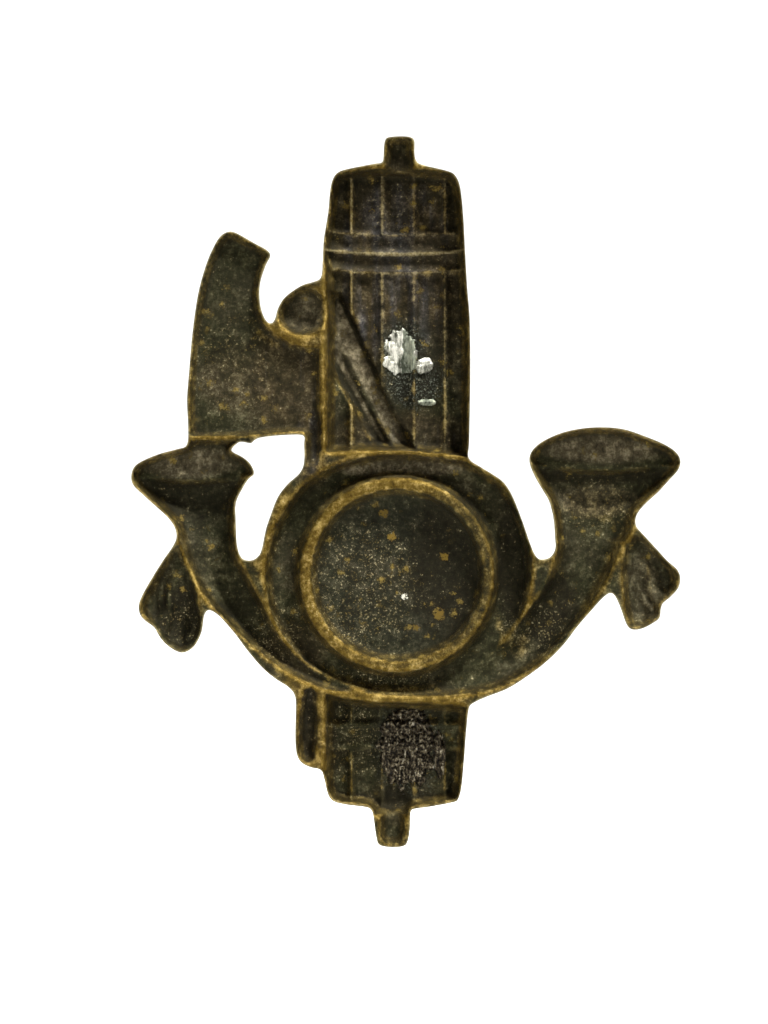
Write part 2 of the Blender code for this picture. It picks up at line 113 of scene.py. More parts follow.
def nearestOnLine(line, x, z):
    # distance to a closed line, the nearest point on it, and whether each point lies inside
    best = np.full(x.shape, 1e9)
    nearX = np.zeros(x.shape)
    nearZ = np.zeros(x.shape)
    inside = np.zeros(x.shape, bool)
    for (ax, az), (bx, bz) in zip(line, np.roll(line, -1, axis=0)):
        runX, runZ = bx - ax, bz - az
        length = max(runX * runX + runZ * runZ, 1e-12)
        t = np.clip(((x - ax) * runX + (z - az) * runZ) / length, 0, 1)
        footX, footZ = ax + t * runX, az + t * runZ
        gap = np.hypot(x - footX, z - footZ)
        closer = gap < best
        best[closer] = gap[closer]
        nearX[closer] = footX[closer]
        nearZ[closer] = footZ[closer]
        if az != bz:
            crosses = ((az > z) != (bz > z)) & (x < (bx - ax) * (z - az) / (bz - az) + ax)
            inside ^= crosses
    return best, nearX, nearZ, inside


def wallProfile(distance, width):
    # quarter-round wall: steep at its lip and level where it meets the floor
    t = np.clip(distance / width, 0, 1)
    return np.sqrt(1 - (1 - t) ** 2)


# the struck sheet, all lengths in millimetres, x towards the axe and z up

outerEdge = [
    (1.25, 38.1), (1.2, 39.1), (1.1, 39.7), (0.8, 40.0), (-0.3, 40.1), (-1.3, 40.0), (-1.6, 39.6),
    (-1.6, 38.6), (-1.75, 37.9), (-2.3, 37.5), (-4.7, 36.9), (-5.4, 36.4), (-5.8, 35.3), (-6.05, 32.9),
    (-6.2, 30.1), (-6.4, 26.5), (-6.65, 23.3), (-6.7, 18.0), (-6.6, 12.3), (-6.55, 10.7), (-7.6, 9.9),
    (-8.9, 9.1), (-9.8, 8.4), (-10.6, 7.1), (-11.5, 4.8), (-12.3, 2.5), (-12.8, 1.6), (-13.3, 1.4),
    (-14.0, 1.6), (-14.5, 2.3), (-14.5, 3.4), (-14.4, 5.0), (-14.0, 6.7), (-13.3, 7.9), (-12.6, 9.1),
    (-12.2, 10.1), (-12.2, 10.9), (-12.6, 11.6), (-13.5, 12.3), (-15.1, 13.0), (-17.0, 13.4), (-19.0, 13.5),
    (-20.8, 13.3), (-22.6, 12.7), (-24.3, 12.0), (-25.4, 11.3), (-25.9, 10.5), (-25.7, 9.6), (-24.9, 8.7),
    (-23.9, 7.6), (-22.8, 6.6), (-22.1, 5.8), (-21.8, 5.1), (-21.9, 4.4), (-22.5, 3.7), (-23.6, 2.5),
    (-24.7, 1.3), (-25.6, 0.5), (-25.9, -0.3), (-25.7, -1.2), (-25.0, -2.0), (-24.3, -2.6), (-24.1, -3.2),
    (-24.0, -3.9), (-23.4, -4.4), (-22.4, -4.9), (-21.5, -5.0), (-21.0, -4.5), (-20.5, -3.1),
    (-20.0, -2.0), (-19.5, -1.65), (-18.8, -2.1), (-17.8, -3.2), (-16.5, -4.7), (-15.2, -6.4),
    (-13.7, -7.9), (-12.0, -9.2), (-10.1, -10.4), (-8.3, -11.1), (-7.0, -11.7), (-6.55, -12.3),
    (-6.3, -14.6), (-6.1, -17.3), (-5.9, -19.4), (-5.6, -20.5), (-5.1, -20.8), (-3.0, -21.2),
    (-1.6, -21.4), (-1.25, -21.7), (-1.2, -23.1), (-1.0, -24.3), (-0.6, -24.8), (0.5, -24.9), (1.6, -24.7),
    (1.9, -24.0), (2.1, -22.6), (2.3, -21.6), (2.8, -21.25), (4.7, -21.0), (5.8, -20.7), (6.3, -20.1),
    (6.6, -18.9), (6.95, -17.85), (7.9, -17.6), (8.8, -17.1), (9.2, -16.2), (9.3, -14.6), (9.25, -11.9),
    (9.4, -10.9), (10.0, -10.2), (11.1, -9.5), (12.3, -8.5), (13.6, -7.0), (14.8, -5.4), (16.1, -3.9),
    (16.9, -3.3), (17.4, -3.3), (17.7, -3.9), (17.9, -5.2), (18.4, -6.3), (19.0, -6.9), (19.8, -7.1),
    (20.8, -6.6), (21.6, -5.8), (22.2, -4.8), (23.0, -4.2), (23.5, -3.6), (23.6, -2.7), (23.2, -1.7),
    (22.4, -0.3), (21.4, 1.3), (20.5, 2.6), (20.15, 3.5), (20.4, 4.5), (21.1, 5.4), (22.2, 6.4),
    (23.3, 7.4), (24.1, 8.2), (24.3, 9.0), (24.0, 9.9), (23.1, 10.5), (21.6, 11.1), (20.1, 11.5),
    (19.2, 11.9), (19.1, 13.7), (19.2, 16.0), (19.0, 18.7), (18.7, 22.1), (18.2, 25.6), (17.5, 28.2),
    (16.8, 29.9), (16.1, 31.0), (15.2, 31.4), (14.2, 31.0), (13.0, 30.3), (11.9, 29.7), (11.6, 29.2),
    (12.0, 28.4), (12.5, 26.9), (12.6, 25.5), (12.4, 24.2), (12.0, 23.3), (11.5, 23.0), (11.15, 23.4),
    (10.9, 24.3), (10.4, 25.2), (9.6, 25.9), (8.6, 26.5), (7.6, 26.8), (6.95, 27.2), (6.8, 28.6),
    (6.7, 30.6), (6.3, 33.1), (6.1, 35.2), (5.8, 36.3), (5.2, 36.9), (3.6, 37.3), (2.0, 37.6), (1.4, 37.7),
]
windowEdge = [
    (8.6, 12.75), (10.2, 12.8), (12.3, 12.6), (13.0, 12.35), (13.4, 12.05), (14.0, 12.15), (14.6, 12.1),
    (15.2, 11.4), (14.2, 10.8), (13.5, 10.2), (13.1, 9.3), (13.6, 8.8), (14.2, 7.9), (14.8, 6.6),
    (14.8, 5.0), (14.7, 2.9), (14.4, 1.8), (13.9, 1.35), (13.2, 1.35), (12.6, 1.8), (12.3, 2.6),
    (12.0, 4.1), (11.5, 5.6), (10.9, 7.1), (10.0, 8.3), (8.9, 9.3), (8.5, 10.3), (8.5, 11.9),
]

sheet = {
    "cell": 0.2,            # spacing of the sheet's mesh
    "thickness": 0.45,
    "rimFlat": 0.12,        # level cut edge
    "rimWall": 0.6,         # how far the drawn wall runs in from the edge
    "follow": (3, 4),       # cells from the edge that follow it, and rounds of following
    "waviness": 0.035,
    "waves": ((2.2, 1.0, 3.0), (0.8, 0.5, 9.0)),     # width, share and seed of each wave
    "softening": (8, 0.6),  # rounds and strength of the softened relief that wear is judged by
    "levelTo": 0.3,         # depth that still counts as level with the back plane
    "cutEdge": 0.3,         # width of the bright cut edge
    "steep": (0.5, 1.7),    # slopes where a wall starts to keep its amber film, and keeps all of it
    "low": (-26.4, -25.4),
    "high": (24.8, 40.6),
}
roundel = {"radius": 7.85, "wall": 1.0, "depth": 1.25, "dish": 0.35}
ring = {
    "inner": 8.9, "depth": 1.75,
    # outer radius of its hollow at each turn from the axe's side, anticlockwise
    "outer": [(0, 12.05), (22, 12.0), (45, 11.8), (60, 11.5), (75, 11.2), (90, 11.1), (105, 11.3),
              (120, 12.1), (135, 12.6), (150, 12.6), (165, 12.4), (180, 12.25), (202, 12.0), (225, 11.8),
              (248, 11.1), (270, 10.7), (292, 11.0), (315, 11.7), (338, 12.0), (360, 12.05)],
}
bundle = {
    "depth": 1.75, "bow": 0.2, "halfWidth": 6.5, "wall": 0.9,
    "ridges": (6.5, 4.2, 1.34, -1.55, -4.43, -6.7), "rodBulge": 0.75,
    "upper": [(6.45, 11.2), (6.45, 26.8), (6.6, 28.4), (8.0, 28.6), (8.0, 36.9), (2.0, 37.15),
              (-2.2, 37.15), (-8.0, 36.9), (-8.0, 10.6), (-3.5, 11.1), (0.0, 11.35), (3.5, 11.4)],
    "lower": [(6.5, -10.9), (6.5, -17.9), (8.0, -18.0), (8.0, -22.0), (-8.0, -22.0), (-8.0, -12.1),
              (-6.6, -12.1), (-2.8, -11.75), (2.6, -11.65), (4.6, -11.3)],
    # middle height, half height, extra depth and sag at the middle of each band
    "bands": [(30.75, 0.88, 0.62, 0.4), (29.0, 0.88, 0.62, 0.4), (-14.9, 1.1, 0.4, -0.12)],
    "rodEnd": 0.6,          # how far a rod runs in before it has its full bulge
}
straps = [
    [(5.7, 25.2, 0.7), (5.1, 23.4, 1.0), (4.3, 21.4, 1.12), (2.7, 18.0, 0.92), (1.6, 15.8, 0.8),
     (0.72, 14.0, 0.72), (-0.5, 12.0, 0.75), (-1.1, 11.0, 0.75)],
    [(6.2, 21.6, 0.6), (5.6, 20.0, 0.75), (4.58, 18.0, 0.75), (3.5, 16.0, 0.72), (2.4, 14.0, 0.7),
     (1.3, 12.0, 0.65), (0.75, 11.0, 0.65)],
]
strapDepth = {"floor": 2.72, "bulge": 0.25}
channels = {
    "axeSideTube": [(17.35, 3.4, 2.55, 2.15), (16.75, 1.0, 2.25, 2.05), (15.9, -0.6, 2.15, 1.95),
                    (14.7, -2.4, 1.95, 1.85), (13.3, -4.2, 1.55, 1.7), (12.2, -5.6, 1.3, 1.5),
                    (11.0, -6.9, 1.05, 1.35), (9.6, -8.1, 0.9, 1.2), (8.0, -9.1, 0.8, 1.1),
                    (6.3, -9.85, 0.65, 0.95), (4.6, -10.3, 0.5, 0.8)],
    "freeSideTube": [(-17.7, 3.4, 2.9, 2.35), (-17.1, 1.4, 2.6, 2.2), (-16.4, -0.4, 2.35, 2.1),
                     (-15.3, -2.4, 2.2, 2.05), (-13.9, -4.2, 2.1, 2.0), (-12.2, -6.0, 2.1, 1.95),
                     (-10.3, -7.6, 2.0, 1.85), (-8.2, -8.8, 1.75, 1.7), (-5.8, -9.6, 1.4, 1.5),
                     (-3.2, -10.05, 1.1, 1.3), (0.0, -10.2, 0.9, 1.1), (2.5, -10.2, 0.7, 0.9)],
    "haftAboveRing": [(7.7, 14.5, 0.8, 1.0), (7.65, 12.0, 0.75, 0.9), (7.7, 10.6, 0.6, 0.6)],
    "haftBelowRing": [(7.95, -10.9, 0.6, 0.6), (8.05, -12.5, 0.8, 0.9), (8.1, -14.4, 0.8, 0.9),
                      (8.25, -15.6, 0.85, 1.1), (8.2, -16.5, 0.75, 0.9)],
    "topFinial": [(-0.2, 37.0, 1.3, 1.2), (-0.2, 37.9, 1.25, 1.1), (-0.2, 38.6, 1.15, 1.15),
                  (-0.2, 39.3, 1.1, 1.1)],
    "footFinial": [(0.3, -19.6, 1.2, 2.3), (0.3, -20.8, 1.2, 1.9), (0.35, -22.0, 1.15, 1.3),
                   (0.4, -23.6, 1.1, 1.15)],
    "axeSideOuterLobe": [(20.6, 1.9, 0.7, 0.9), (21.3, 0.4, 1.1, 1.15), (22.0, -1.5, 1.4, 1.4),
                         (22.1, -2.9, 1.25, 1.3)],
    "axeSideInnerLobe": [(19.5, 0.2, 0.7, 0.9), (19.6, -2.0, 1.3, 1.2), (19.8, -4.0, 1.55, 1.45),
                         (19.9, -5.4, 1.2, 1.3)],
    "freeSideOuterLobe": [(-22.5, 2.7, 0.8, 0.8), (-23.4, 1.5, 1.1, 1.1), (-24.4, 0.2, 1.3, 1.3),
                          (-24.2, -1.0, 1.2, 1.2)],
    "freeSideInnerLobe": [(-21.6, 2.2, 0.8, 0.8), (-21.9, 0.4, 1.2, 1.15), (-22.3, -1.6, 1.5, 1.4),
                          (-22.2, -3.2, 1.3, 1.3)],
}
tassels = [
    {"knot": (20.3, 4.2), "edge": [(20.1, 3.0), (21.2, 1.4), (22.2, -0.2), (23.2, -2.0), (23.4, -3.0),
                                   (22.9, -4.0), (22.0, -4.9), (20.9, -6.3), (19.8, -6.9), (18.8, -6.6),
                                   (18.1, -5.4), (17.9, -4.0), (18.3, -2.5), (18.9, -0.5), (19.4, 1.2)]},
    {"knot": (-21.6, 5.2), "edge": [(-21.9, 4.0), (-23.4, 2.4), (-24.6, 1.1), (-25.5, 0.2), (-25.6, -0.8),
                                    (-24.9, -1.9), (-24.1, -2.6), (-23.8, -3.9), (-22.6, -4.7), (-21.5, -4.7),
                                    (-21.0, -3.7), (-20.8, -2.0), (-20.7, -0.5), (-20.8, 1.0), (-21.2, 2.5)]},
]
tasselForm = {"floor": 0.8, "wall": 0.5, "strands": 52, "strandDepth": 0.1}
axe = {
    "blade": [(18.9, 12.6), (18.95, 16.0), (18.8, 20.5), (18.3, 24.4), (17.5, 27.7), (16.7, 29.8),
              (15.8, 31.1), (15.1, 31.1), (13.4, 30.3), (11.8, 29.4), (12.5, 27.7), (12.9, 25.8),
              (12.8, 24.4), (12.2, 23.0), (11.1, 22.0), (9.8, 21.2), (8.4, 20.8), (7.1, 20.8),
              (7.0, 16.9), (7.1, 13.1), (9.8, 13.1), (13.4, 12.8)],
    "bladeDepth": 0.85, "bladeWall": 0.6,
    "poll": (8.6, 24.15), "pollRadius": 2.3, "pollDepth": 1.45,
}
# sections of each bell from its lip down: height, middle, half width, depth
bells = [
    {"lip": 9.25, "lipSag": 0.6, "mouthTop": 11.8, "mouthMiddle": 18.7, "mouthHalf": 5.7, "lipDepth": 1.15,
     "mouthDepth": 1.5, "fold": 2.4,
     "sections": [(9.4, 18.95, 5.5, 2.7), (8.3, 18.95, 5.0, 2.85), (7.76, 18.85, 4.7, 2.8),
                  (6.85, 18.55, 4.0, 2.65), (5.93, 18.2, 3.3, 2.45), (5.02, 17.8, 2.85, 2.3),
                  (4.1, 17.5, 2.7, 2.2), (3.0, 17.3, 2.6, 2.15)]},
    {"lip": 10.3, "lipSag": 0.7, "mouthTop": 13.8, "mouthMiddle": -19.0, "mouthHalf": 7.0, "lipDepth": 1.2,
     "mouthDepth": 1.7, "fold": 2.6,
     "sections": [(10.4, -19.0, 6.9, 2.9), (9.2, -18.95, 6.3, 3.05), (8.67, -18.9, 6.0, 3.05),
                  (7.76, -18.75, 5.3, 2.95), (6.85, -18.5, 4.6, 2.8), (5.93, -18.2, 4.0, 2.65),
                  (5.02, -18.1, 3.7, 2.55), (4.1, -17.9, 3.5, 2.45), (3.0, -17.7, 3.0, 2.35)]},
]


def flatArch(across):
    # section that is nearly level in its middle and meets its neighbour in a narrow ridge
    return np.clip(1 - np.abs(across) ** 2.3, 0, 1) ** 0.55


def channelDepth(x, z, stations):
    # a round tool swept along the stations
    depth = np.zeros(x.shape)
    for stationX, stationZ, half, deep in smoothLine(stations, 10):
        reach = ((x - stationX) ** 2 + (z - stationZ) ** 2) / half ** 2
        depth = np.maximum(depth, deep * np.sqrt(np.clip(1 - reach, 0, 1)))
    return depth


def outlineDepth(x, z, corners, wall, floor):
    distance, _, _, inside = nearestOnLine(np.array(corners), x, z)
    return np.where(inside, floor * wallProfile(distance, wall), 0)


def strapShare(x, z):
    # 0 off the straps, rising to 1 on their middle lines
    share = np.zeros(x.shape)
    for stations in straps:
        for stationX, stationZ, half in smoothLine(stations, 12):
            reach = ((x - stationX) ** 2 + (z - stationZ) ** 2) / half ** 2
            share = np.maximum(share, 1 - reach)
    return share


def bowAcross(x):
    # 1 on the bundle's middle line and 0 at its sides
    return 1 - (x / bundle["halfWidth"]) ** 2


def inBundle(x, z):
    return np.maximum(outlineDepth(x, z, bundle["upper"], bundle["wall"], 1.0),
                      outlineDepth(x, z, bundle["lower"], bundle["wall"], 1.0))


def bundleDepth(x, z):
    ridges = bundle["ridges"]
    bulge = np.zeros(x.shape)
    for left, right in zip(ridges, ridges[1:]):
        across = (x - (left + right) / 2) / ((left - right) / 2)
        bulge = np.maximum(bulge, flatArch(across))
    base = bundle["depth"] - bundle["bow"] * (1 - bowAcross(x))
    rodEnd = np.ones(x.shape)
    bandFloor = np.zeros(x.shape)
    for middle, half, extra, sag in bundle["bands"]:
        height = np.abs(z - middle + sag * bowAcross(x))
        rodEnd = np.minimum(rodEnd, wallProfile(height - half, bundle["rodEnd"]))
        bandFloor = np.maximum(bandFloor, extra * flatArch(height / half))
    floor = base + np.maximum(bundle["rodBulge"] * bulge * rodEnd, bandFloor)
    strap = np.clip(strapShare(x, z), 0, 1)
    lift = np.where(strap > 0, strapDepth["floor"] + strapDepth["bulge"] * np.sqrt(strap), 0)
    return inBundle(x, z) * np.maximum(floor, lift)


def bellDepth(x, z, bell):
    heights, middles, halves, depths = np.array(bell["sections"])[::-1].T
    middle, half, deep = (np.interp(z, heights, values) for values in (middles, halves, depths))
    across = (x - middle) / half
    section = np.clip(1 - np.abs(across) ** 2.4, 0, 1) ** (1 / 2.4)
    fromMiddle = np.clip((x - bell["mouthMiddle"]) / bell["mouthHalf"], -1, 1)
    lip = bell["lip"] - bell["lipSag"] * (1 - fromMiddle ** 2)
    body = bell["lipDepth"] + (deep - bell["lipDepth"]) * wallProfile(lip - z, bell["fold"])
    body = np.where((z <= lip) & (z >= heights[0]), body * section, 0)
    up = np.clip((z - lip) / (bell["mouthTop"] - lip), 0, 1)
    mouth = bell["lipDepth"] + (bell["mouthDepth"] - bell["lipDepth"]) * up ** 0.7
    inMouth = (z > lip) & (z < bell["mouthTop"] + 0.4)
    inMouth &= np.abs(x - bell["mouthMiddle"]) < bell["mouthHalf"] + 0.3
    return np.where(inMouth, mouth, body)


def ringDepth(x, z):
    reach = np.hypot(x, z)
    turn = np.degrees(np.arctan2(z, x)) % 360
    turns, outers = np.array(ring["outer"]).T
    outer = np.interp(turn, turns, outers)
    middle = (ring["inner"] + outer) / 2
    half = (outer - ring["inner"]) / 2
    return ring["depth"] * np.sqrt(np.clip(1 - ((reach - middle) / half) ** 2, 0, 1))


def roundelDepth(x, z):
    reach = np.hypot(x, z)
    wall = wallProfile(roundel["radius"] - reach, roundel["wall"])
    dish = roundel["dish"] * np.clip(1 - (reach / roundel["radius"]) ** 2, 0, 1)
    return np.where(reach < roundel["radius"], roundel["depth"] * wall + dish, 0)


def pressedDepth(x, z):
    depth = np.maximum(roundelDepth(x, z), ringDepth(x, z))
    depth = np.maximum(depth, bundleDepth(x, z))
    depth = np.maximum(depth, outlineDepth(x, z, axe["blade"], axe["bladeWall"], axe["bladeDepth"]))
    pollX, pollZ = axe["poll"]
    depth = np.maximum(depth, channelDepth(x, z, [(pollX, pollZ, axe["pollRadius"], axe["pollDepth"])] * 2))
    for stations in channels.values():
        depth = np.maximum(depth, channelDepth(x, z, stations))
    for bell in bells:
        depth = np.maximum(depth, bellDepth(x, z, bell))
    for tassel in tassels:
        knotX, knotZ = tassel["knot"]
        turn = np.arctan2(x - knotX, knotZ - z) + 0.04 * np.sin(1.3 * z)     # strands waver a little
        strands = tasselForm["strandDepth"] * np.sin(tasselForm["strands"] * turn)
        hollow = outlineDepth(x, z, tassel["edge"], tasselForm["wall"], 1.0)
        depth = np.maximum(depth, hollow * tasselForm["floor"]) + hollow * strands
    return depth


def neighbourMean(values, pairs, count):
    total = np.zeros(count)
    seen = np.zeros(count)
    np.add.at(total, pairs[:, 0], values[pairs[:, 1]])
    np.add.at(total, pairs[:, 1], values[pairs[:, 0]])
    np.add.at(seen, pairs[:, 0], 1)
    np.add.at(seen, pairs[:, 1], 1)
    return total / np.maximum(seen, 1)


def steepness(x, z, depth, pairs):
    a, b = pairs.T
    slope = np.abs(depth[a] - depth[b]) / np.maximum(np.hypot(x[a] - x[b], z[a] - z[b]), 0.02)
    steepest = np.zeros(len(x))
    np.maximum.at(steepest, a, slope)
    np.maximum.at(steepest, b, slope)
    return (steepest + neighbourMean(steepest, pairs, len(x))) / 2


def edgePairs(mesh):
    pairs = np.zeros(len(mesh.edges) * 2, int)
    mesh.edges.foreach_get("vertices", pairs)
    return pairs.reshape(-1, 2)


def lumpsOf(x, z, size, seed):
    # smooth noise between about -1 and 1, size is the width of one lump in millimetres
    return np.array([noise.noise(Vector((a / size, b / size, seed))) for a, b in zip(x, z)])


# where the film is brown, blue-black, rubbed to brass, grimed or darkened with painted shade, flaked, thin or
# lightened with painted light, or burnt by flux, each spot as x, z, half width, half height, strength
warmSpots = [(0.0, 28.0, 6.5, 11.0, 0.95), (10.0, 18.0, 4.0, 5.5, 0.8), (15.0, 18.0, 3.0, 3.0, 0.5),
             (8.0, 12.0, 2.0, 4.0, 0.9), (8.5, -14.0, 2.5, 5.0, 0.8), (9.5, -7.0, 3.0, 2.5, 0.7),
             (-0.2, 12.5, 7.0, 2.5, 0.8), (0.0, -21.0, 3.0, 2.0, 0.5), (8.6, 24.1, 2.5, 2.5, 0.5)]
coldSpots = [(0.0, 0.0, 7.8, 7.8, 1.0), (0.0, 12.0, 3.0, 1.5, 0.3), (18.5, 6.0, 3.5, 3.5, 0.3),
             (-1.2, 19.8, 3.0, 4.0, 0.7), (-1.0, -16.0, 3.0, 4.0, 0.6)]
goldSpots = [(-11.0, -3.5, 2.2, 4.5, 1.0), (11.6, 8.0, 1.8, 3.0, 1.0), (12.2, 2.5, 1.5, 3.0, 0.9),
             (10.0, 22.0, 3.0, 1.2, 1.0), (-19.0, 6.5, 4.5, 2.0, 0.7), (-13.3, 2.5, 1.0, 1.5, 0.9),
             (0.0, -11.0, 7.0, 1.2, 0.8), (9.0, -11.0, 2.0, 2.5, 0.8), (7.5, -17.0, 2.0, 1.2, 0.7),
             (7.0, 19.0, 0.7, 9.0, 0.6), (3.5, 12.2, 3.5, 1.5, 0.5), (18.2, -0.5, 1.2, 3.0, 0.6)]
# dark spots: partly darker film, partly painted shade below the bell lips, under the bundle's top end and
# band, on the roundel's right side and at the foot finial
darkAndShadedSpots = [(-10.7, 1.0, 1.6, 6.5, 1.2), (18.4, 7.0, 4.0, 2.5, 0.7), (14.2, -3.0, 2.5, 3.5, 0.3),
             (-14.2, -3.5, 2.4, 3.5, 1.4), (-4.5, 1.0, 3.8, 6.5, 1.15), (19.9, -3.8, 2.2, 3.0, 1.3),
             (4.0, -15.0, 2.5, 3.5, 0.45), (15.5, 25.0, 3.0, 5.0, 0.4), (0.0, 0.0, 5.5, 6.0, 0.45),
             (-3.2, 22.0, 2.2, 5.0, 0.35), (0.0, 29.7, 6.5, 1.7, 0.5), (0.0, 36.4, 5.5, 1.3, 0.7),
             (0.3, -20.7, 1.3, 1.2, 1.3), (-18.8, 9.2, 6.0, 0.9, 0.9), (19.0, 8.4, 4.8, 0.7, 0.8),
             (8.2, -13.5, 0.8, 2.6, 0.7)]
flakedSpots = [(3.2, -1.5, 5.0, 6.0, 1.0), (-18.6, 6.5, 3.5, 2.5, 0.8), (-13.0, -5.2, 3.5, 2.5, 0.75),
               (11.0, -5.0, 2.5, 3.0, 0.8), (4.0, -15.5, 3.0, 3.5, 0.8), (15.0, 19.0, 4.0, 5.0, 0.5),
               (1.0, -9.5, 5.0, 1.5, 0.9), (0.0, 34.0, 3.0, 2.0, 0.5), (20.0, -4.5, 2.0, 2.0, 0.6)]
# pale spots: thinner film, and painted light on the lit floor at the ring's top and in the bell mouths
paleAndLitSpots = [(19.0, 10.4, 4.5, 1.5, 0.75), (-19.0, 12.0, 5.5, 1.7, 0.95), (0.0, 10.0, 5.5, 1.0, 1.4),
             (-18.6, 6.8, 4.0, 1.4, 0.5), (-22.5, -1.5, 2.2, 3.5, 0.35), (8.6, 24.1, 1.6, 1.6, 0.45)]
fluxSpots = [(-0.6, 20.6, 2.0, 2.7, 0.9), (-1.6, 17.6, 2.6, 2.2, 1.0), (-1.0, -16.0, 3.1, 4.6, 0.6)]
strapWear = {"gold": 0.3, "pale": 0.95}
# painted shadow lying along the straps' edges, each a line of x, z
strapShadowLines = [[(5.0, 25.3), (3.4, 21.7), (1.1, 16.9), (-1.85, 11.4)], [(4.9, 20.1), (3.0, 16.5), (0.4, 11.7)],
           [(5.6, 19.2), (3.4, 15.2), (1.5, 11.9)]]
strapShadowForm = {"halfWidth": 0.24, "strength": 1.3}
crestWearAndHighlightForm = {"radius": 8.38, "halfWidth": 0.4, "even": 0.85, "highlightLean": 0.3, "limits": (0.4, 1.1)}
# worn lines on the bundle: x and strength of each rod's ridge, height, strength and sag of each band's edge
ridgeWear = {"upright": [(4.2, 0.85), (1.34, 0.6), (-1.55, 0.3), (-4.43, 0.45)], "lowerShare": 0.25,
             "across": [(29.87, 0.9, 0.4), (31.6, 0.4, 0.4), (28.1, 0.5, 0.4)], "halfWidth": 0.17}


def softEdge(reach):
    # full to a little inside 1 and gone a little outside it
    return np.clip(1.4 - reach, 0, 1)


def stain(x, z, spots):
    amount = np.zeros(x.shape)
    for spotX, spotZ, halfWidth, halfHeight, strength in spots:
        reach = ((x - spotX) / halfWidth) ** 2 + ((z - spotZ) / halfHeight) ** 2
        amount = np.maximum(amount, strength * np.clip(1.5 - reach, 0, 1))
    return amount


def ridgeStain(x, z):
    worn = np.zeros(x.shape)
    onBand = np.zeros(x.shape, bool)
    for middle, half, _, sag in bundle["bands"]:
        onBand |= np.abs(z - middle + sag * bowAcross(x)) < half
    for middle, strength in ridgeWear["upright"]:
        line = strength * softEdge(np.abs(x - middle) / ridgeWear["halfWidth"])
        worn = np.maximum(worn, np.where(onBand, 0, line) * np.where(z > 0, 1, ridgeWear["lowerShare"]))
    for height, strength, sag in ridgeWear["across"]:
        line = strength * softEdge(np.abs(z - height + sag * bowAcross(x)) / ridgeWear["halfWidth"])
        worn = np.maximum(worn, line)
    return np.where((inBundle(x, z) > 0.9) & (strapShare(x, z) <= 0), worn, 0)


# paints a dark line of shadow along each strap's edge
def strapShadowStain(x, z):
    amount = np.zeros(x.shape)
    for line in strapShadowLines:
        for pointX, pointZ in smoothLine(line, 40):
            reach = np.hypot(x - pointX, z - pointZ) / strapShadowForm["halfWidth"]
            amount = np.maximum(amount, strapShadowForm["strength"] * np.clip(1.5 - reach, 0, 1))
    return amount


def crestWearAndHighlight(x, z):
    # the crest round the recess, rubbed to brass, with a painted highlight that makes it brightest at its top
    # and on the axe's side
    reach = np.hypot(x, z)
    onCrest = softEdge(np.abs(reach - crestWearAndHighlightForm["radius"]) / crestWearAndHighlightForm["halfWidth"])
    brightest = crestWearAndHighlightForm["even"] + crestWearAndHighlightForm["highlightLean"] * (z + x) / crestWearAndHighlightForm["radius"]
    return onCrest * np.clip(brightest, *crestWearAndHighlightForm["limits"])


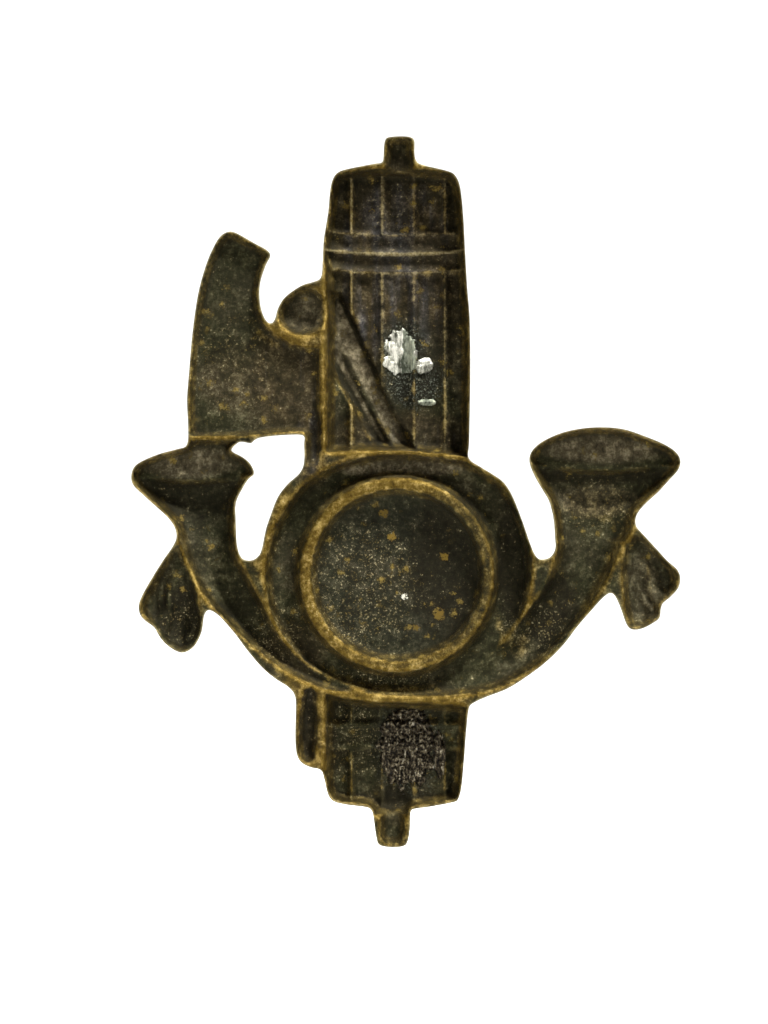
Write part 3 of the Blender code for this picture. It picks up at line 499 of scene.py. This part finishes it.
def makeShell():
    lowX, lowZ = sheet["low"]
    highX, highZ = sheet["high"]
    cell = sheet["cell"]
    across = round((highX - lowX) / cell)
    up = round((highZ - lowZ) / cell)
    deselectAll()
    bpy.ops.mesh.primitive_grid_add(x_subdivisions=across, y_subdivisions=up, size=1,
                                    location=((lowX + highX) / 2 * mm, 0, (lowZ + highZ) / 2 * mm),
                                    rotation=(math.radians(90), 0, 0))
    shell = bpy.context.object
    shell.name = "struckSheet"
    shell.scale = (across * cell * mm, up * cell * mm, 1)
    bpy.ops.object.transform_apply(location=True, rotation=True, scale=True)
    outer = smoothLine(outerEdge, 4, closed=True)
    window = smoothLine(windowEdge, 4, closed=True)

    # cut the sheet to its outline
    mesh = shell.data
    middles = np.zeros(len(mesh.polygons) * 3)
    mesh.polygons.foreach_get("center", middles)
    middles = middles.reshape(-1, 3) / mm
    _, _, _, inOuter = nearestOnLine(outer, middles[:, 0], middles[:, 2])
    _, _, _, inWindow = nearestOnLine(window, middles[:, 0], middles[:, 2])
    deleteFaces(shell, ~(inOuter & ~inWindow))
    bpy.ops.object.mode_set(mode="EDIT")
    bpy.ops.mesh.select_all(action="DESELECT")
    bpy.ops.mesh.select_non_manifold()
    bpy.ops.object.mode_set(mode="OBJECT")

    # pull the stepped edge onto the outline and let the next rows follow
    count = len(mesh.vertices)
    places = np.zeros(count * 3)
    mesh.vertices.foreach_get("co", places)
    places = places.reshape(-1, 3) / mm
    onEdge = np.zeros(count, bool)
    mesh.vertices.foreach_get("select", onEdge)
    x, z = places[:, 0].copy(), places[:, 2].copy()
    toOuter, outerX, outerZ, _ = nearestOnLine(outer, x, z)
    toWindow, windowX, windowZ, _ = nearestOnLine(window, x, z)
    atWindow = toWindow < toOuter
    x[onEdge] = np.where(atWindow, windowX, outerX)[onEdge]
    z[onEdge] = np.where(atWindow, windowZ, outerZ)[onEdge]
    pairs = edgePairs(mesh)
    followCells, followRounds = sheet["follow"]
    nearEdge = (np.minimum(toOuter, toWindow) < followCells * cell) & ~onEdge
    for _ in range(followRounds):
        meanX, meanZ = neighbourMean(x, pairs, count), neighbourMean(z, pairs, count)
        x[nearEdge] += 0.5 * (meanX - x)[nearEdge]
        z[nearEdge] += 0.5 * (meanZ - z)[nearEdge]

    # Press it. Each point moves by the height of the die there, since no extrude or bevel gives a struck
    # relief, where every hollow blends into the next.
    toOuter, _, _, _ = nearestOnLine(outer, x, z)
    toWindow, _, _, _ = nearestOnLine(window, x, z)
    fromEdge = np.minimum(toOuter, toWindow)
    depth = pressedDepth(x, z)
    depth += 0.5 * (neighbourMean(depth, pairs, count) - depth)     # a die leaves no sharp line
    depth *= wallProfile(fromEdge - sheet["rimFlat"], sheet["rimWall"])
    depth[onEdge] = 0
    wave = sum(share * lumpsOf(x, z, size, seed) for size, share, seed in sheet["waves"])
    depth += sheet["waviness"] * wave * np.clip(depth / 0.5, 0, 1)

    # front of the sheet: the back surface grown by the sheet's thickness
    thick = sheet["thickness"]
    front = depth + thick
    blocks = {}
    for index, (a, b) in enumerate(zip(np.floor(x / thick), np.floor(z / thick))):
        blocks.setdefault((a, b), []).append(index)
    for (a, b), members in blocks.items():
        around = np.array([index for stepX in (-1, 0, 1) for stepZ in (-1, 0, 1)
                           for index in blocks.get((a + stepX, b + stepZ), [])])
        members = np.array(members)
        gap = (x[members][:, None] - x[around]) ** 2 + (z[members][:, None] - z[around]) ** 2
        grown = np.where(gap < thick ** 2, depth[around] + np.sqrt(np.clip(thick ** 2 - gap, 0, None)), 0)
        front[members] = np.maximum(front[members], grown.max(axis=1))
    front += 0.5 * (neighbourMean(front, pairs, count) - front) * ~onEdge

    makeActive(shell)
    wallMaker = shell.modifiers.new("wall", "SOLIDIFY")
    wallMaker.thickness = thick * mm
    wallMaker.offset = -1
    bpy.ops.object.modifier_apply(modifier=wallMaker.name)
    mesh = shell.data
    placed = np.zeros((len(mesh.vertices), 3))
    placed[:count] = np.column_stack((x, -depth, z))
    placed[count:] = np.column_stack((x, -front, z))
    mesh.vertices.foreach_set("co", (placed * mm).ravel())
    mesh.update()
    shell.data.shade_smooth()

    # wear: 1 on what stands proud and rubs, and grime where nothing reaches
    softDepth = depth.copy()
    softFront = front.copy()
    rounds, strength = sheet["softening"]
    for _ in range(rounds):
        softDepth += strength * (neighbourMean(softDepth, pairs, count) - softDepth)
        softFront += strength * (neighbourMean(softFront, pairs, count) - softFront)
    inStrapShadow = strapShadowStain(x, z)
    onStrap = np.sqrt(np.clip(strapShare(x, z), 0, 1)) * np.clip(1 - inStrapShadow, 0, 1)
    steepFrom, steepTo = sheet["steep"]
    steep = np.clip((steepness(x, z, depth, pairs) - steepFrom) / (steepTo - steepFrom), 0, 1)
    goldStain = np.maximum(stain(x, z, goldSpots), crestWearAndHighlight(x, z))
    onBothSides = {
        "cutEdge": np.clip(1 - fromEdge / sheet["cutEdge"], 0, 1),
        "warm": stain(x, z, warmSpots),
        "cold": stain(x, z, coldSpots),
        "gold": np.maximum(goldStain, strapWear["gold"] * onStrap),
        "dark": np.maximum(stain(x, z, darkAndShadedSpots), inStrapShadow),
        "flaked": stain(x, z, flakedSpots),
        "pale": np.maximum(stain(x, z, paleAndLitSpots), strapWear["pale"] * onStrap),
        "ridge": ridgeStain(x, z),
        "amber": steep,
    }
    wear = {name: np.tile(values, 2) for name, values in onBothSides.items()}
    wear["proud"] = np.concatenate((softDepth - depth, front - softFront))
    wear["level"] = np.concatenate((np.clip(1 - depth / sheet["levelTo"], 0, 1), np.zeros(count)))
    wear["flux"] = np.concatenate((stain(x, z, fluxSpots), np.zeros(count)))
    for name, values in wear.items():
        layer = mesh.attributes.new(name, "FLOAT", "POINT")
        layer.data.foreach_set("value", values.astype(np.float32))
    print("struck sheet:", len(mesh.vertices), "vertices, depth to", round(float(front.max()), 2), "mm")
    return shell


shell = makeShell()
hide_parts("struck_shell")
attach(shell, "root")


# solder left where the two fixings broke away

solderScars = {
    # middle x and z, half width, half height, thickness in millimetres, seed
    "upper_solder_pad": (-0.35, 20.35, 1.5, 2.2, 0.14, 1.0),
    "upper_solder_crumb": (-2.55, 19.2, 0.75, 0.8, 0.3, 2.0),
    "upper_solder_bead": (-2.8, 15.85, 0.85, 0.33, 0.2, 3.0),
    "lower_solder_pad": (-0.9, -15.9, 2.6, 3.9, 0.3, 4.0),
    "lower_solder_bead": (-3.9, -16.6, 0.6, 2.2, 0.22, 5.0),
}
solderForm = {
    "cell": 0.07,
    "reach": 1.35,          # size of the grid it is cut from, against the patch
    "sunk": 0.12,           # how far it sits in the sheet that it is bonded to
    "edge": 0.5,            # how far in it has its full thickness
    "ringEnd": 12.4,        # no solder nearer the middle than this, where the ring's wall rises
    # width, share and added seed of each noise
    "ragged": ((0.9, 0.25, 0.0), (0.33, 0.15, 10.0)),
    "lumps": ((0.9, 0.4, 0.0), (0.3, 0.28, 20.0)),
    "crinkle": (0.26, 1.1, 40.0),       # only on the lower scar
}


def makeSolder(name):
    middleX, middleZ, halfWidth, halfHeight, thickness, seed = solderScars[name]
    cell = solderForm["cell"]
    reachX, reachZ = halfWidth * solderForm["reach"], halfHeight * solderForm["reach"]
    deselectAll()
    bpy.ops.mesh.primitive_grid_add(x_subdivisions=round(2 * reachX / cell),
                                    y_subdivisions=round(2 * reachZ / cell),
                                    size=2, location=(middleX * mm, mm, middleZ * mm),
                                    rotation=(math.radians(90), 0, math.radians(180)))
    blob = bpy.context.object
    blob.name = "left_" + name
    blob.scale = (reachX * mm, reachZ * mm, 1)
    bpy.ops.object.transform_apply(location=True, rotation=True, scale=True)

    # ragged outline, as solder runs out where the brass was tinned
    faceX, faceZ = np.array([(face.center.x / mm, face.center.z / mm) for face in blob.data.polygons]).T
    reach = np.hypot((faceX - middleX) / halfWidth, (faceZ - middleZ) / halfHeight)
    wobble = sum(share * lumpsOf(faceX, faceZ, size, seed + more)
                 for size, share, more in solderForm["ragged"])
    deleteFaces(blob, (reach > 1 + wobble) | (np.abs(faceZ) < solderForm["ringEnd"]))

    # lay it on the sheet, then give it its thickness both ways
    drape = blob.modifiers.new("drape", "SHRINKWRAP")
    drape.target = shell
    drape.wrap_method = "PROJECT"
    drape.use_project_y = True
    drape.use_negative_direction = True
    drape.use_positive_direction = False
    bpy.ops.object.modifier_apply(modifier=drape.name)
    bpy.ops.object.mode_set(mode="EDIT")
    bpy.ops.mesh.select_all(action="DESELECT")
    bpy.ops.mesh.select_non_manifold()
    bpy.ops.object.mode_set(mode="OBJECT")
    count = len(blob.data.vertices)
    places = np.zeros(count * 3)
    blob.data.vertices.foreach_get("co", places)
    places = places.reshape(-1, 3) / mm
    x, z = places[:, 0], places[:, 2]
    onRim = [vertex.index for vertex in blob.data.vertices if vertex.select]
    fromRim = np.array([np.hypot(x[onRim] - pointX, z[onRim] - pointZ).min()
                        for pointX, pointZ in zip(x, z)])
    lumps = 1 + sum(share * lumpsOf(x, z, size, seed + more) for size, share, more in solderForm["lumps"])
    if middleZ < 0:
        size, share, more = solderForm["crinkle"]
        lumps += share * lumpsOf(x, z, size, seed + more)
    raised = thickness * wallProfile(fromRim, solderForm["edge"]) * lumps
    sink = blob.modifiers.new("sink", "SOLIDIFY")
    sink.thickness = solderForm["sunk"] * mm
    sink.offset = -1 if blob.data.polygons[0].normal.y > 0 else 1
    bpy.ops.object.modifier_apply(modifier=sink.name)
    for vertex, lift in zip(list(blob.data.vertices)[:count], raised):
        vertex.co.y += lift * mm
    bpy.ops.object.mode_set(mode="EDIT")
    bpy.ops.mesh.select_all(action="SELECT")
    bpy.ops.mesh.normals_make_consistent(inside=False)
    bpy.ops.object.mode_set(mode="OBJECT")
    blob.data.shade_smooth()
    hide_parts(name)
    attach(blob, "root")
    return blob


solderPieces = [makeSolder(name) for name in solderScars]
print("solder laid:", len(solderPieces), "pieces")


# materials

# single marks: a bright chip, ochre spots and one dot of verdigris, as x, z, radius in mm and colour
marks = [(-0.7, -2.0, 0.36, "#d2d0bf"), (0.4, 3.5, 0.45, "#6f5b26"), (-4.3, 1.7, 0.4, "#66531f"),
         (-3.9, -3.7, 0.5, "#5f4d20"), (1.2, 5.6, 0.4, "#5a491d"), (-1.8, -4.9, 0.35, "#57471e"),
         (8.95, 13.55, 0.33, "#24604a")]
markForm = {"y": -1.3, "raggedness": 4.0, "edge": (0.8, 1.0)}

# noises over the brass: what one mark of each measures in millimetres, with its detail and roughness
brassNoises = {"clouds": (6.2, 4.0, 0.6), "mottle": (1.25, 8.0, 0.75), "grain": (0.43, 6.0, 0.8),
               "grit": (0.19, 3.0, 0.7)}
flakeSpacing = 1.6
streaks = {"width": 0.9, "drawn": (1.0, 1.0, 0.12)}     # along the rods
brassSurface = {
    "grainInTone": 0.45, "grainInBump": 0.42,       # share of grain against mottle
    "film": 0.5, "bareMetal": 0.35,                 # metallic of the film, and what bare brass adds
    "smooth": 0.3, "roughGrain": 0.5, "polish": -0.08,
    "specular": 0.22, "tint": "#e6dcae",            # the oxide film reflects little, and warmly
    "bump": 0.8, "bumpDepth": 0.24,
}

filmColours = [(0.38, "#0c0c05"), (0.5, "#232315"), (0.62, "#4d4b34")]
# layers over the dark film, from the lowest up. Each has masks that are multiplied together, as what they
# follow with its weight and the sums where they start and are full, then its strength, what its colours
# follow, and the colours
brassLayers = {
    "brown film": ([({"warm": 1.0, "clouds": 1.0}, 0.5, 1.5)], 1.0,
                   "tone", [(0.38, "#100d07"), (0.5, "#2c2518"), (0.62, "#5a4d35")]),
    "blue-black film": ([({"cold": 1.0, "clouds": 1.0}, 0.5, 1.5)], 1.0,
                        "tone", [(0.38, "#0b0c08"), (0.5, "#1c1e17"), (0.62, "#403f30")]),
    # thin film, and painted light where the pale spots lie
    "thin film and painted light": ([({"pale": 1.0, "clouds": 1.0}, 0.5, 1.5)], 0.9,
                  "tone", [(0.38, "#1d1911"), (0.5, "#554d3b"), (0.62, "#9a8f73")]),
    "slate streaks": ([({"warm": 1.0, "streaks": 1.0}, 1.35, 1.75)], 0.75,
                      "tone", [(0.38, "#141517"), (0.5, "#32343a"), (0.62, "#66686c")]),
    "burnt flux": ([({"flux": 1.0}, 0.0, 1.0)], 1.0,
                   "grit", [(0.4, "#0b0b0a"), (0.55, "#23251f"), (0.68, "#6c7164")]),
    # darkens the hollows, where proud is below zero, and the dark spots: grime and painted shade together
    "grime and painted shade": ([({"proud": -5.0, "dark": 0.8}, 0.0, 1.0)], 0.85,
              "grain", [(0.4, "#080705"), (0.6, "#1a170f")]),
    "amber walls": ([({"amber": 1.0, "tone": 1.0, "dark": -0.5}, 0.7, 1.6)], 0.75,
                    "tone", [(0.38, "#181206"), (0.5, "#372d14"), (0.62, "#6f5e2f")]),
    "rubbed brass": ([({"level": 0.22, "proud": 3.2, "gold": 0.55, "tone": 2.2, "dark": -0.45},
                       1.4, 2.1)], 0.85,
                     "tone", [(0.38, "#2c220a"), (0.5, "#5f4c1d"), (0.62, "#a89052")]),
    "bright ridges": ([({"ridge": 1.0, "mottle": 1.5, "grain": 1.0}, 1.5, 2.5)], 0.8,
                      "grit", [(0.4, "#7d6d42"), (0.6, "#b5a77c")]),
    "ochre spots": ([({"flakes": -1.0, "grain": -1.5}, -0.95, -0.85), ({"clouds": 1.0}, 0.44, 0.56)], 0.7,
                    "grit", [(0.4, "#5c4a1e"), (0.6, "#8f7b3c")]),
    # bright specks: brass where the film flaked, and painted glints off the pitted metal
    "flaked specks and painted glints": ([({"grit": 1.0}, 0.56, 0.66), ({"grain": 1.0, "flaked": 0.12}, 0.55, 0.65)], 0.8,
                      "mottle", [(0.42, "#7a6630"), (0.6, "#c6b98e")]),
    "cut edge": ([({"cutEdge": 1.0}, 0.45, 0.95)], 0.7,
                 "tone", [(0.4, "#544b2e"), (0.6, "#aea682")]),
}


def patinatedBrass():
    # Cartridge brass sheet, struck and blackened: a dark oxide film, rubbed through to bare metal on the
    # crests, with brown and grey clouds and fine bright grit where the film has flaked, which also stands in
    # for painted glints.
    material = bpy.data.materials.new("blackenedStruckBrass")
    material.use_nodes = True
    tree = material.node_tree
    shader = tree.nodes["Principled BSDF"]
    place = addNode(tree, "TexCoord").outputs["Object"]
    guides = {name: addNode(tree, "Attribute", {"attribute_name": name}).outputs["Fac"]
              for name in ("proud", "level", "cutEdge", "warm", "cold", "gold", "flux", "dark", "flaked",
                           "pale", "ridge", "amber")}
    for name, (size, detail, rough) in brassNoises.items():
        guides[name] = addNode(tree, "TexNoise",
                               {"Scale": 1 / (size * mm), "Detail": detail, "Roughness": rough},
                               {"Vector": place}).outputs["Fac"]
    drawn = addNode(tree, "Mapping", {"Scale": streaks["drawn"]}, {"Vector": place})
    guides["streaks"] = addNode(tree, "TexNoise",
                                {"Scale": 1 / (streaks["width"] * mm), "Detail": 3.0},
                                {"Vector": drawn.outputs["Vector"]}).outputs["Fac"]
    guides["flakes"] = addNode(tree, "TexVoronoi", {"Scale": 1 / (flakeSpacing * mm)},
                               {"Vector": place}).outputs["Distance"]
    guides["tone"] = addNode(tree, "Mix", {0: brassSurface["grainInTone"]},
                             {2: guides["mottle"], 3: guides["grain"]}).outputs[0]

    body = addNode(tree, "ValToRGB", {"stops": filmColours},
                   {"Fac": guides["tone"]}).outputs["Color"]
    amounts = {}
    for name, (masks, strength, colourGuide, colours) in brassLayers.items():
        amount = None
        for weights, start, full in masks:
            total = None
            for guide, weight in weights.items():
                total = addNode(tree, "Math", {"operation": "MULTIPLY_ADD", 1: weight, 2: 0.0},
                                {0: guides[guide], **({2: total} if total else {})}).outputs[0]
            mask = addNode(tree, "MapRange", {"From Min": start, "From Max": full, "To Max": 1.0},
                           {"Value": total}).outputs["Result"]
            amount = addNode(tree, "Math", {"operation": "MULTIPLY", 1: strength},
                             {0: mask, **({1: amount} if amount else {})}).outputs[0]
        amounts[name] = amount
        colour = addNode(tree, "ValToRGB", {"stops": colours},
                         {"Fac": guides[colourGuide]}).outputs["Color"]
        body = addNode(tree, "Mix", {"data_type": "RGBA"},
                       {0: amount, 6: body, 7: colour}).outputs[2]

    for markX, markZ, radius, colour in marks:
        away = addNode(tree, "VectorMath",
                       {"operation": "DISTANCE", 1: (markX * mm, markForm["y"] * mm, markZ * mm)},
                       {0: place})
        ragged = addNode(tree, "Math",
                         {"operation": "MULTIPLY_ADD", 1: markForm["raggedness"],
                          2: -markForm["raggedness"] / 2}, {0: guides["grain"]})
        span = addNode(tree, "Math", {"operation": "MULTIPLY_ADD", 1: 1 / (radius * mm)},
                       {0: away.outputs["Value"], 2: ragged.outputs[0]})
        start, end = markForm["edge"]
        within = addNode(tree, "MapRange",
                         {"From Min": start, "From Max": end, "To Min": 1.0, "To Max": 0.0},
                         {"Value": span.outputs[0]})
        body = addNode(tree, "Mix", {"data_type": "RGBA", 7: linearColour(colour)},
                       {0: within.outputs["Result"], 6: body}).outputs[2]
    tree.links.new(body, shader.inputs["Base Color"])

    metal = addNode(tree, "Math",
                    {"operation": "MULTIPLY_ADD", 1: brassSurface["bareMetal"], 2: brassSurface["film"]},
                    {0: amounts["rubbed brass"]})
    tree.links.new(metal.outputs[0], shader.inputs["Metallic"])
    shader.inputs["Specular IOR Level"].default_value = brassSurface["specular"]
    shader.inputs["Specular Tint"].default_value = linearColour(brassSurface["tint"])
    polish = addNode(tree, "Math",
                     {"operation": "MULTIPLY_ADD", 1: brassSurface["polish"], 2: brassSurface["smooth"]},
                     {0: amounts["rubbed brass"]})
    rough = addNode(tree, "Math", {"operation": "MULTIPLY_ADD", 1: brassSurface["roughGrain"]},
                    {0: guides["grain"], 2: polish.outputs[0]})
    tree.links.new(rough.outputs[0], shader.inputs["Roughness"])

    pitted = addNode(tree, "Mix", {0: brassSurface["grainInBump"]},
                     {2: guides["mottle"], 3: guides["grain"]})
    bump = addNode(tree, "Bump",
                   {"Strength": brassSurface["bump"], "Distance": brassSurface["bumpDepth"] * mm},
                   {"Height": pitted.outputs[0]})
    tree.links.new(bump.outputs["Normal"], shader.inputs["Normal"])
    return material


solderLook = {
    # stops of each look along the patches' brightness, and of the charred one along its crumbs, its palest
    # stop a painted glint
    "torn": [(0.54, "#45453b"), (0.65, "#9a9a8c"), (0.76, "#dedccf")],
    "dulled": [(0.55, "#3f4338"), (0.68, "#7f8473"), (0.8, "#a3a792")],
    "charredWithGlints": [(0.4, "#0f0d09"), (0.52, "#352e21"), (0.62, "#7f7660"), (0.72, "#d6d2c1")],
    "smear": (-1.75, -0.45),        # the dulled strip of the upper scar, from x to x in millimetres
    "beadTop": 17.0,                # below this height the upper scar's bead is dulled as well
    "patches": 900.0, "crumbs": 3600.0,     # noise scales: 1.1 mm patches and 0.28 mm crumbs
    "drawn": (1.0, 1.0, 0.4),       # drawn out upwards, as it ran
    "crumbsInTone": 0.35, "wander": 2.0,
    "metal": 0.85, "roughness": (0.3, 0.55), "bump": 0.9, "bumpDepth": 0.15,
}


def tinnedSolder():
    # Tin-lead solder, run on hot and broken off: bright grey where it tore, dull grey-green where it has
    # aged, and charred black with the flux at the lower scar, its brightest crumbs painted as glints.
    material = bpy.data.materials.new("tornTinLeadSolder")
    material.use_nodes = True
    tree = material.node_tree
    shader = tree.nodes["Principled BSDF"]
    place = addNode(tree, "TexCoord").outputs["Object"]
    drawn = addNode(tree, "Mapping", {"Scale": solderLook["drawn"]},
                    {"Vector": place}).outputs["Vector"]
    patches = addNode(tree, "TexNoise",
                      {"Scale": solderLook["patches"], "Detail": 5.0, "Roughness": 0.65},
                      {"Vector": drawn}).outputs["Fac"]
    crumbs = addNode(tree, "TexNoise",
                     {"Scale": solderLook["crumbs"], "Detail": 4.0, "Roughness": 0.7},
                     {"Vector": drawn}).outputs["Fac"]
    sides = addNode(tree, "SeparateXYZ", {}, {"Vector": place}).outputs
    bright = addNode(tree, "Math", {"operation": "MULTIPLY_ADD", 1: solderLook["crumbsInTone"]},
                     {0: crumbs, 2: patches}).outputs[0]
    looks = {name: addNode(tree, "ValToRGB", {"stops": solderLook[name]},
                           {"Fac": guide}).outputs["Color"]
             for name, guide in (("torn", bright), ("dulled", bright), ("charredWithGlints", crumbs))}
    low = addNode(tree, "Math", {"operation": "LESS_THAN", 1: 0.0}, {0: sides["Z"]}).outputs[0]
    wander = solderLook["wander"] * mm
    ragged = addNode(tree, "Math", {"operation": "MULTIPLY_ADD", 1: wander, 2: -wander / 2},
                     {0: crumbs}).outputs[0]
    aside = addNode(tree, "Math", {"operation": "ADD"}, {0: sides["X"], 1: ragged}).outputs[0]
    start, end = solderLook["smear"]
    inSmear = addNode(tree, "Math", {"operation": "COMPARE", 1: (start + end) / 2 * mm,
                                               2: (end - start) / 2 * mm}, {0: aside}).outputs[0]
    inBead = addNode(tree, "Math", {"operation": "LESS_THAN", 1: solderLook["beadTop"] * mm},
                     {0: sides["Z"]}).outputs[0]
    aged = addNode(tree, "Math", {"operation": "MAXIMUM"}, {0: inSmear, 1: inBead}).outputs[0]
    upper = addNode(tree, "Mix", {"data_type": "RGBA"},
                    {0: aged, 6: looks["torn"], 7: looks["dulled"]}).outputs[2]
    body = addNode(tree, "Mix", {"data_type": "RGBA"},
                   {0: low, 6: upper, 7: looks["charredWithGlints"]}).outputs[2]
    tree.links.new(body, shader.inputs["Base Color"])
    shader.inputs["Metallic"].default_value = solderLook["metal"]
    smoothest, roughest = solderLook["roughness"]
    rough = addNode(tree, "MapRange",
                    {"From Min": 0.35, "From Max": 0.65, "To Min": smoothest, "To Max": roughest},
                    {"Value": crumbs})
    tree.links.new(rough.outputs["Result"], shader.inputs["Roughness"])
    bump = addNode(tree, "Bump",
                   {"Strength": solderLook["bump"], "Distance": solderLook["bumpDepth"] * mm},
                   {"Height": crumbs})
    tree.links.new(bump.outputs["Normal"], shader.inputs["Normal"])
    return material


shell.data.materials.clear()
shell.data.materials.append(patinatedBrass())
solderMetal = tinnedSolder()
for piece in solderPieces:
    piece.data.materials.append(solderMetal)
print("brass and solder finished")


# studio

studio = {"floor": -0.028, "radius": 0.85, "height": 1.2, "cove": 0.25, "coveSteps": 12,
          "paper": "#f4f3f1", "paperRoughness": 0.9, "airLight": 0.03}


def makeStudio():
    deselectAll()
    bpy.ops.mesh.primitive_circle_add(vertices=96, radius=studio["radius"], fill_type="NGON",
                                      location=(0, 0, studio["floor"]))
    bowl = bpy.context.object
    bowl.name = "studioBowl"
    bpy.ops.object.mode_set(mode="EDIT")
    bpy.ops.mesh.select_all(action="SELECT")
    bpy.ops.mesh.inset(thickness=studio["cove"])
    bpy.ops.mesh.select_all(action="DESELECT")
    bpy.ops.object.mode_set(mode="OBJECT")
    for vertex in bowl.data.vertices:
        if vertex.co.xy.length > studio["radius"] - 0.01:
            vertex.select = True
    bpy.ops.object.mode_set(mode="EDIT")
    bpy.ops.mesh.select_mode(type="EDGE")
    bpy.ops.mesh.extrude_region_move(TRANSFORM_OT_translate={"value": (0, 0, studio["height"])})
    bpy.ops.object.mode_set(mode="OBJECT")
    bend = bowl.modifiers.new("cove", "BEVEL")
    bend.width = studio["cove"] * 0.95      # just short of the inset, so the faces don't meet
    bend.segments = studio["coveSteps"]
    bend.limit_method = "ANGLE"
    bend.angle_limit = math.radians(60)
    makeActive(bowl)
    bpy.ops.object.modifier_apply(modifier=bend.name)
    bpy.ops.object.transform_apply(location=True, rotation=True, scale=True)
    bowl.data.shade_smooth()
    paper = bpy.data.materials.new("mattPaper")
    paper.use_nodes = True
    shader = paper.node_tree.nodes["Principled BSDF"]
    shader.inputs["Base Color"].default_value = linearColour(studio["paper"])
    shader.inputs["Roughness"].default_value = studio["paperRoughness"]
    bowl.data.materials.append(paper)


makeStudio()

lamps = {
    # kind, place, aim, size across, power
    "key": ("SPOT", (-0.2, 0.2, 0.58), (0, 0, 0.008), 0.1, 42.0),
    "fill": ("AREA", (0.4, 0.5, 0.25), (0, 0, 0.01), 0.4, 0.2),
    "front": ("AREA", (0.2, -0.45, 0.35), (0, 0, 0.01), 0.3, 1.0),
    "backdropLeft": ("AREA", (0.25, -0.15, 0.55), (0.1, -0.8, 0.05), 0.35, 3.5),
    "backdropRight": ("AREA", (-0.25, -0.15, 0.55), (-0.1, -0.8, 0.05), 0.35, 3.5),
}
keyCone = {"spread": math.radians(19), "blend": 0.6}
for name, (kind, place, aim, size, power) in lamps.items():
    deselectAll()
    bpy.ops.object.light_add(type=kind, location=place)
    lamp = bpy.context.object
    lamp.name = name + "Lamp"
    lamp.data.energy = power
    if kind == "SPOT":
        lamp.data.shadow_soft_size = size / 2
        lamp.data.spot_size = keyCone["spread"]
        lamp.data.spot_blend = keyCone["blend"]
    else:
        lamp.data.shape = "DISK"
        lamp.data.size = size
    lamp.rotation_euler = (Vector(aim) - Vector(place)).to_track_quat("-Z", "Y").to_euler()

world = bpy.data.worlds.new("studioAir")
world.use_nodes = True
world.node_tree.nodes["Background"].inputs["Color"].default_value = (1, 1, 1, 1)
world.node_tree.nodes["Background"].inputs["Strength"].default_value = studio["airLight"]
bpy.context.scene.world = world
bpy.context.scene.view_settings.view_transform = "Standard"

# square-on to the hollow back
squareOn = {"place": (0.00119, 0.26, 0.00575), "turn": (math.radians(90), 0, math.radians(180)),
            "lens": 100, "nearest": 0.01}
deselectAll()
bpy.ops.object.camera_add(location=squareOn["place"], rotation=squareOn["turn"])
camera = bpy.context.object
camera.data.lens = squareOn["lens"]
camera.data.sensor_width = 36
camera.data.clip_start = squareOn["nearest"]
bpy.context.scene.camera = camera
print("studio made")
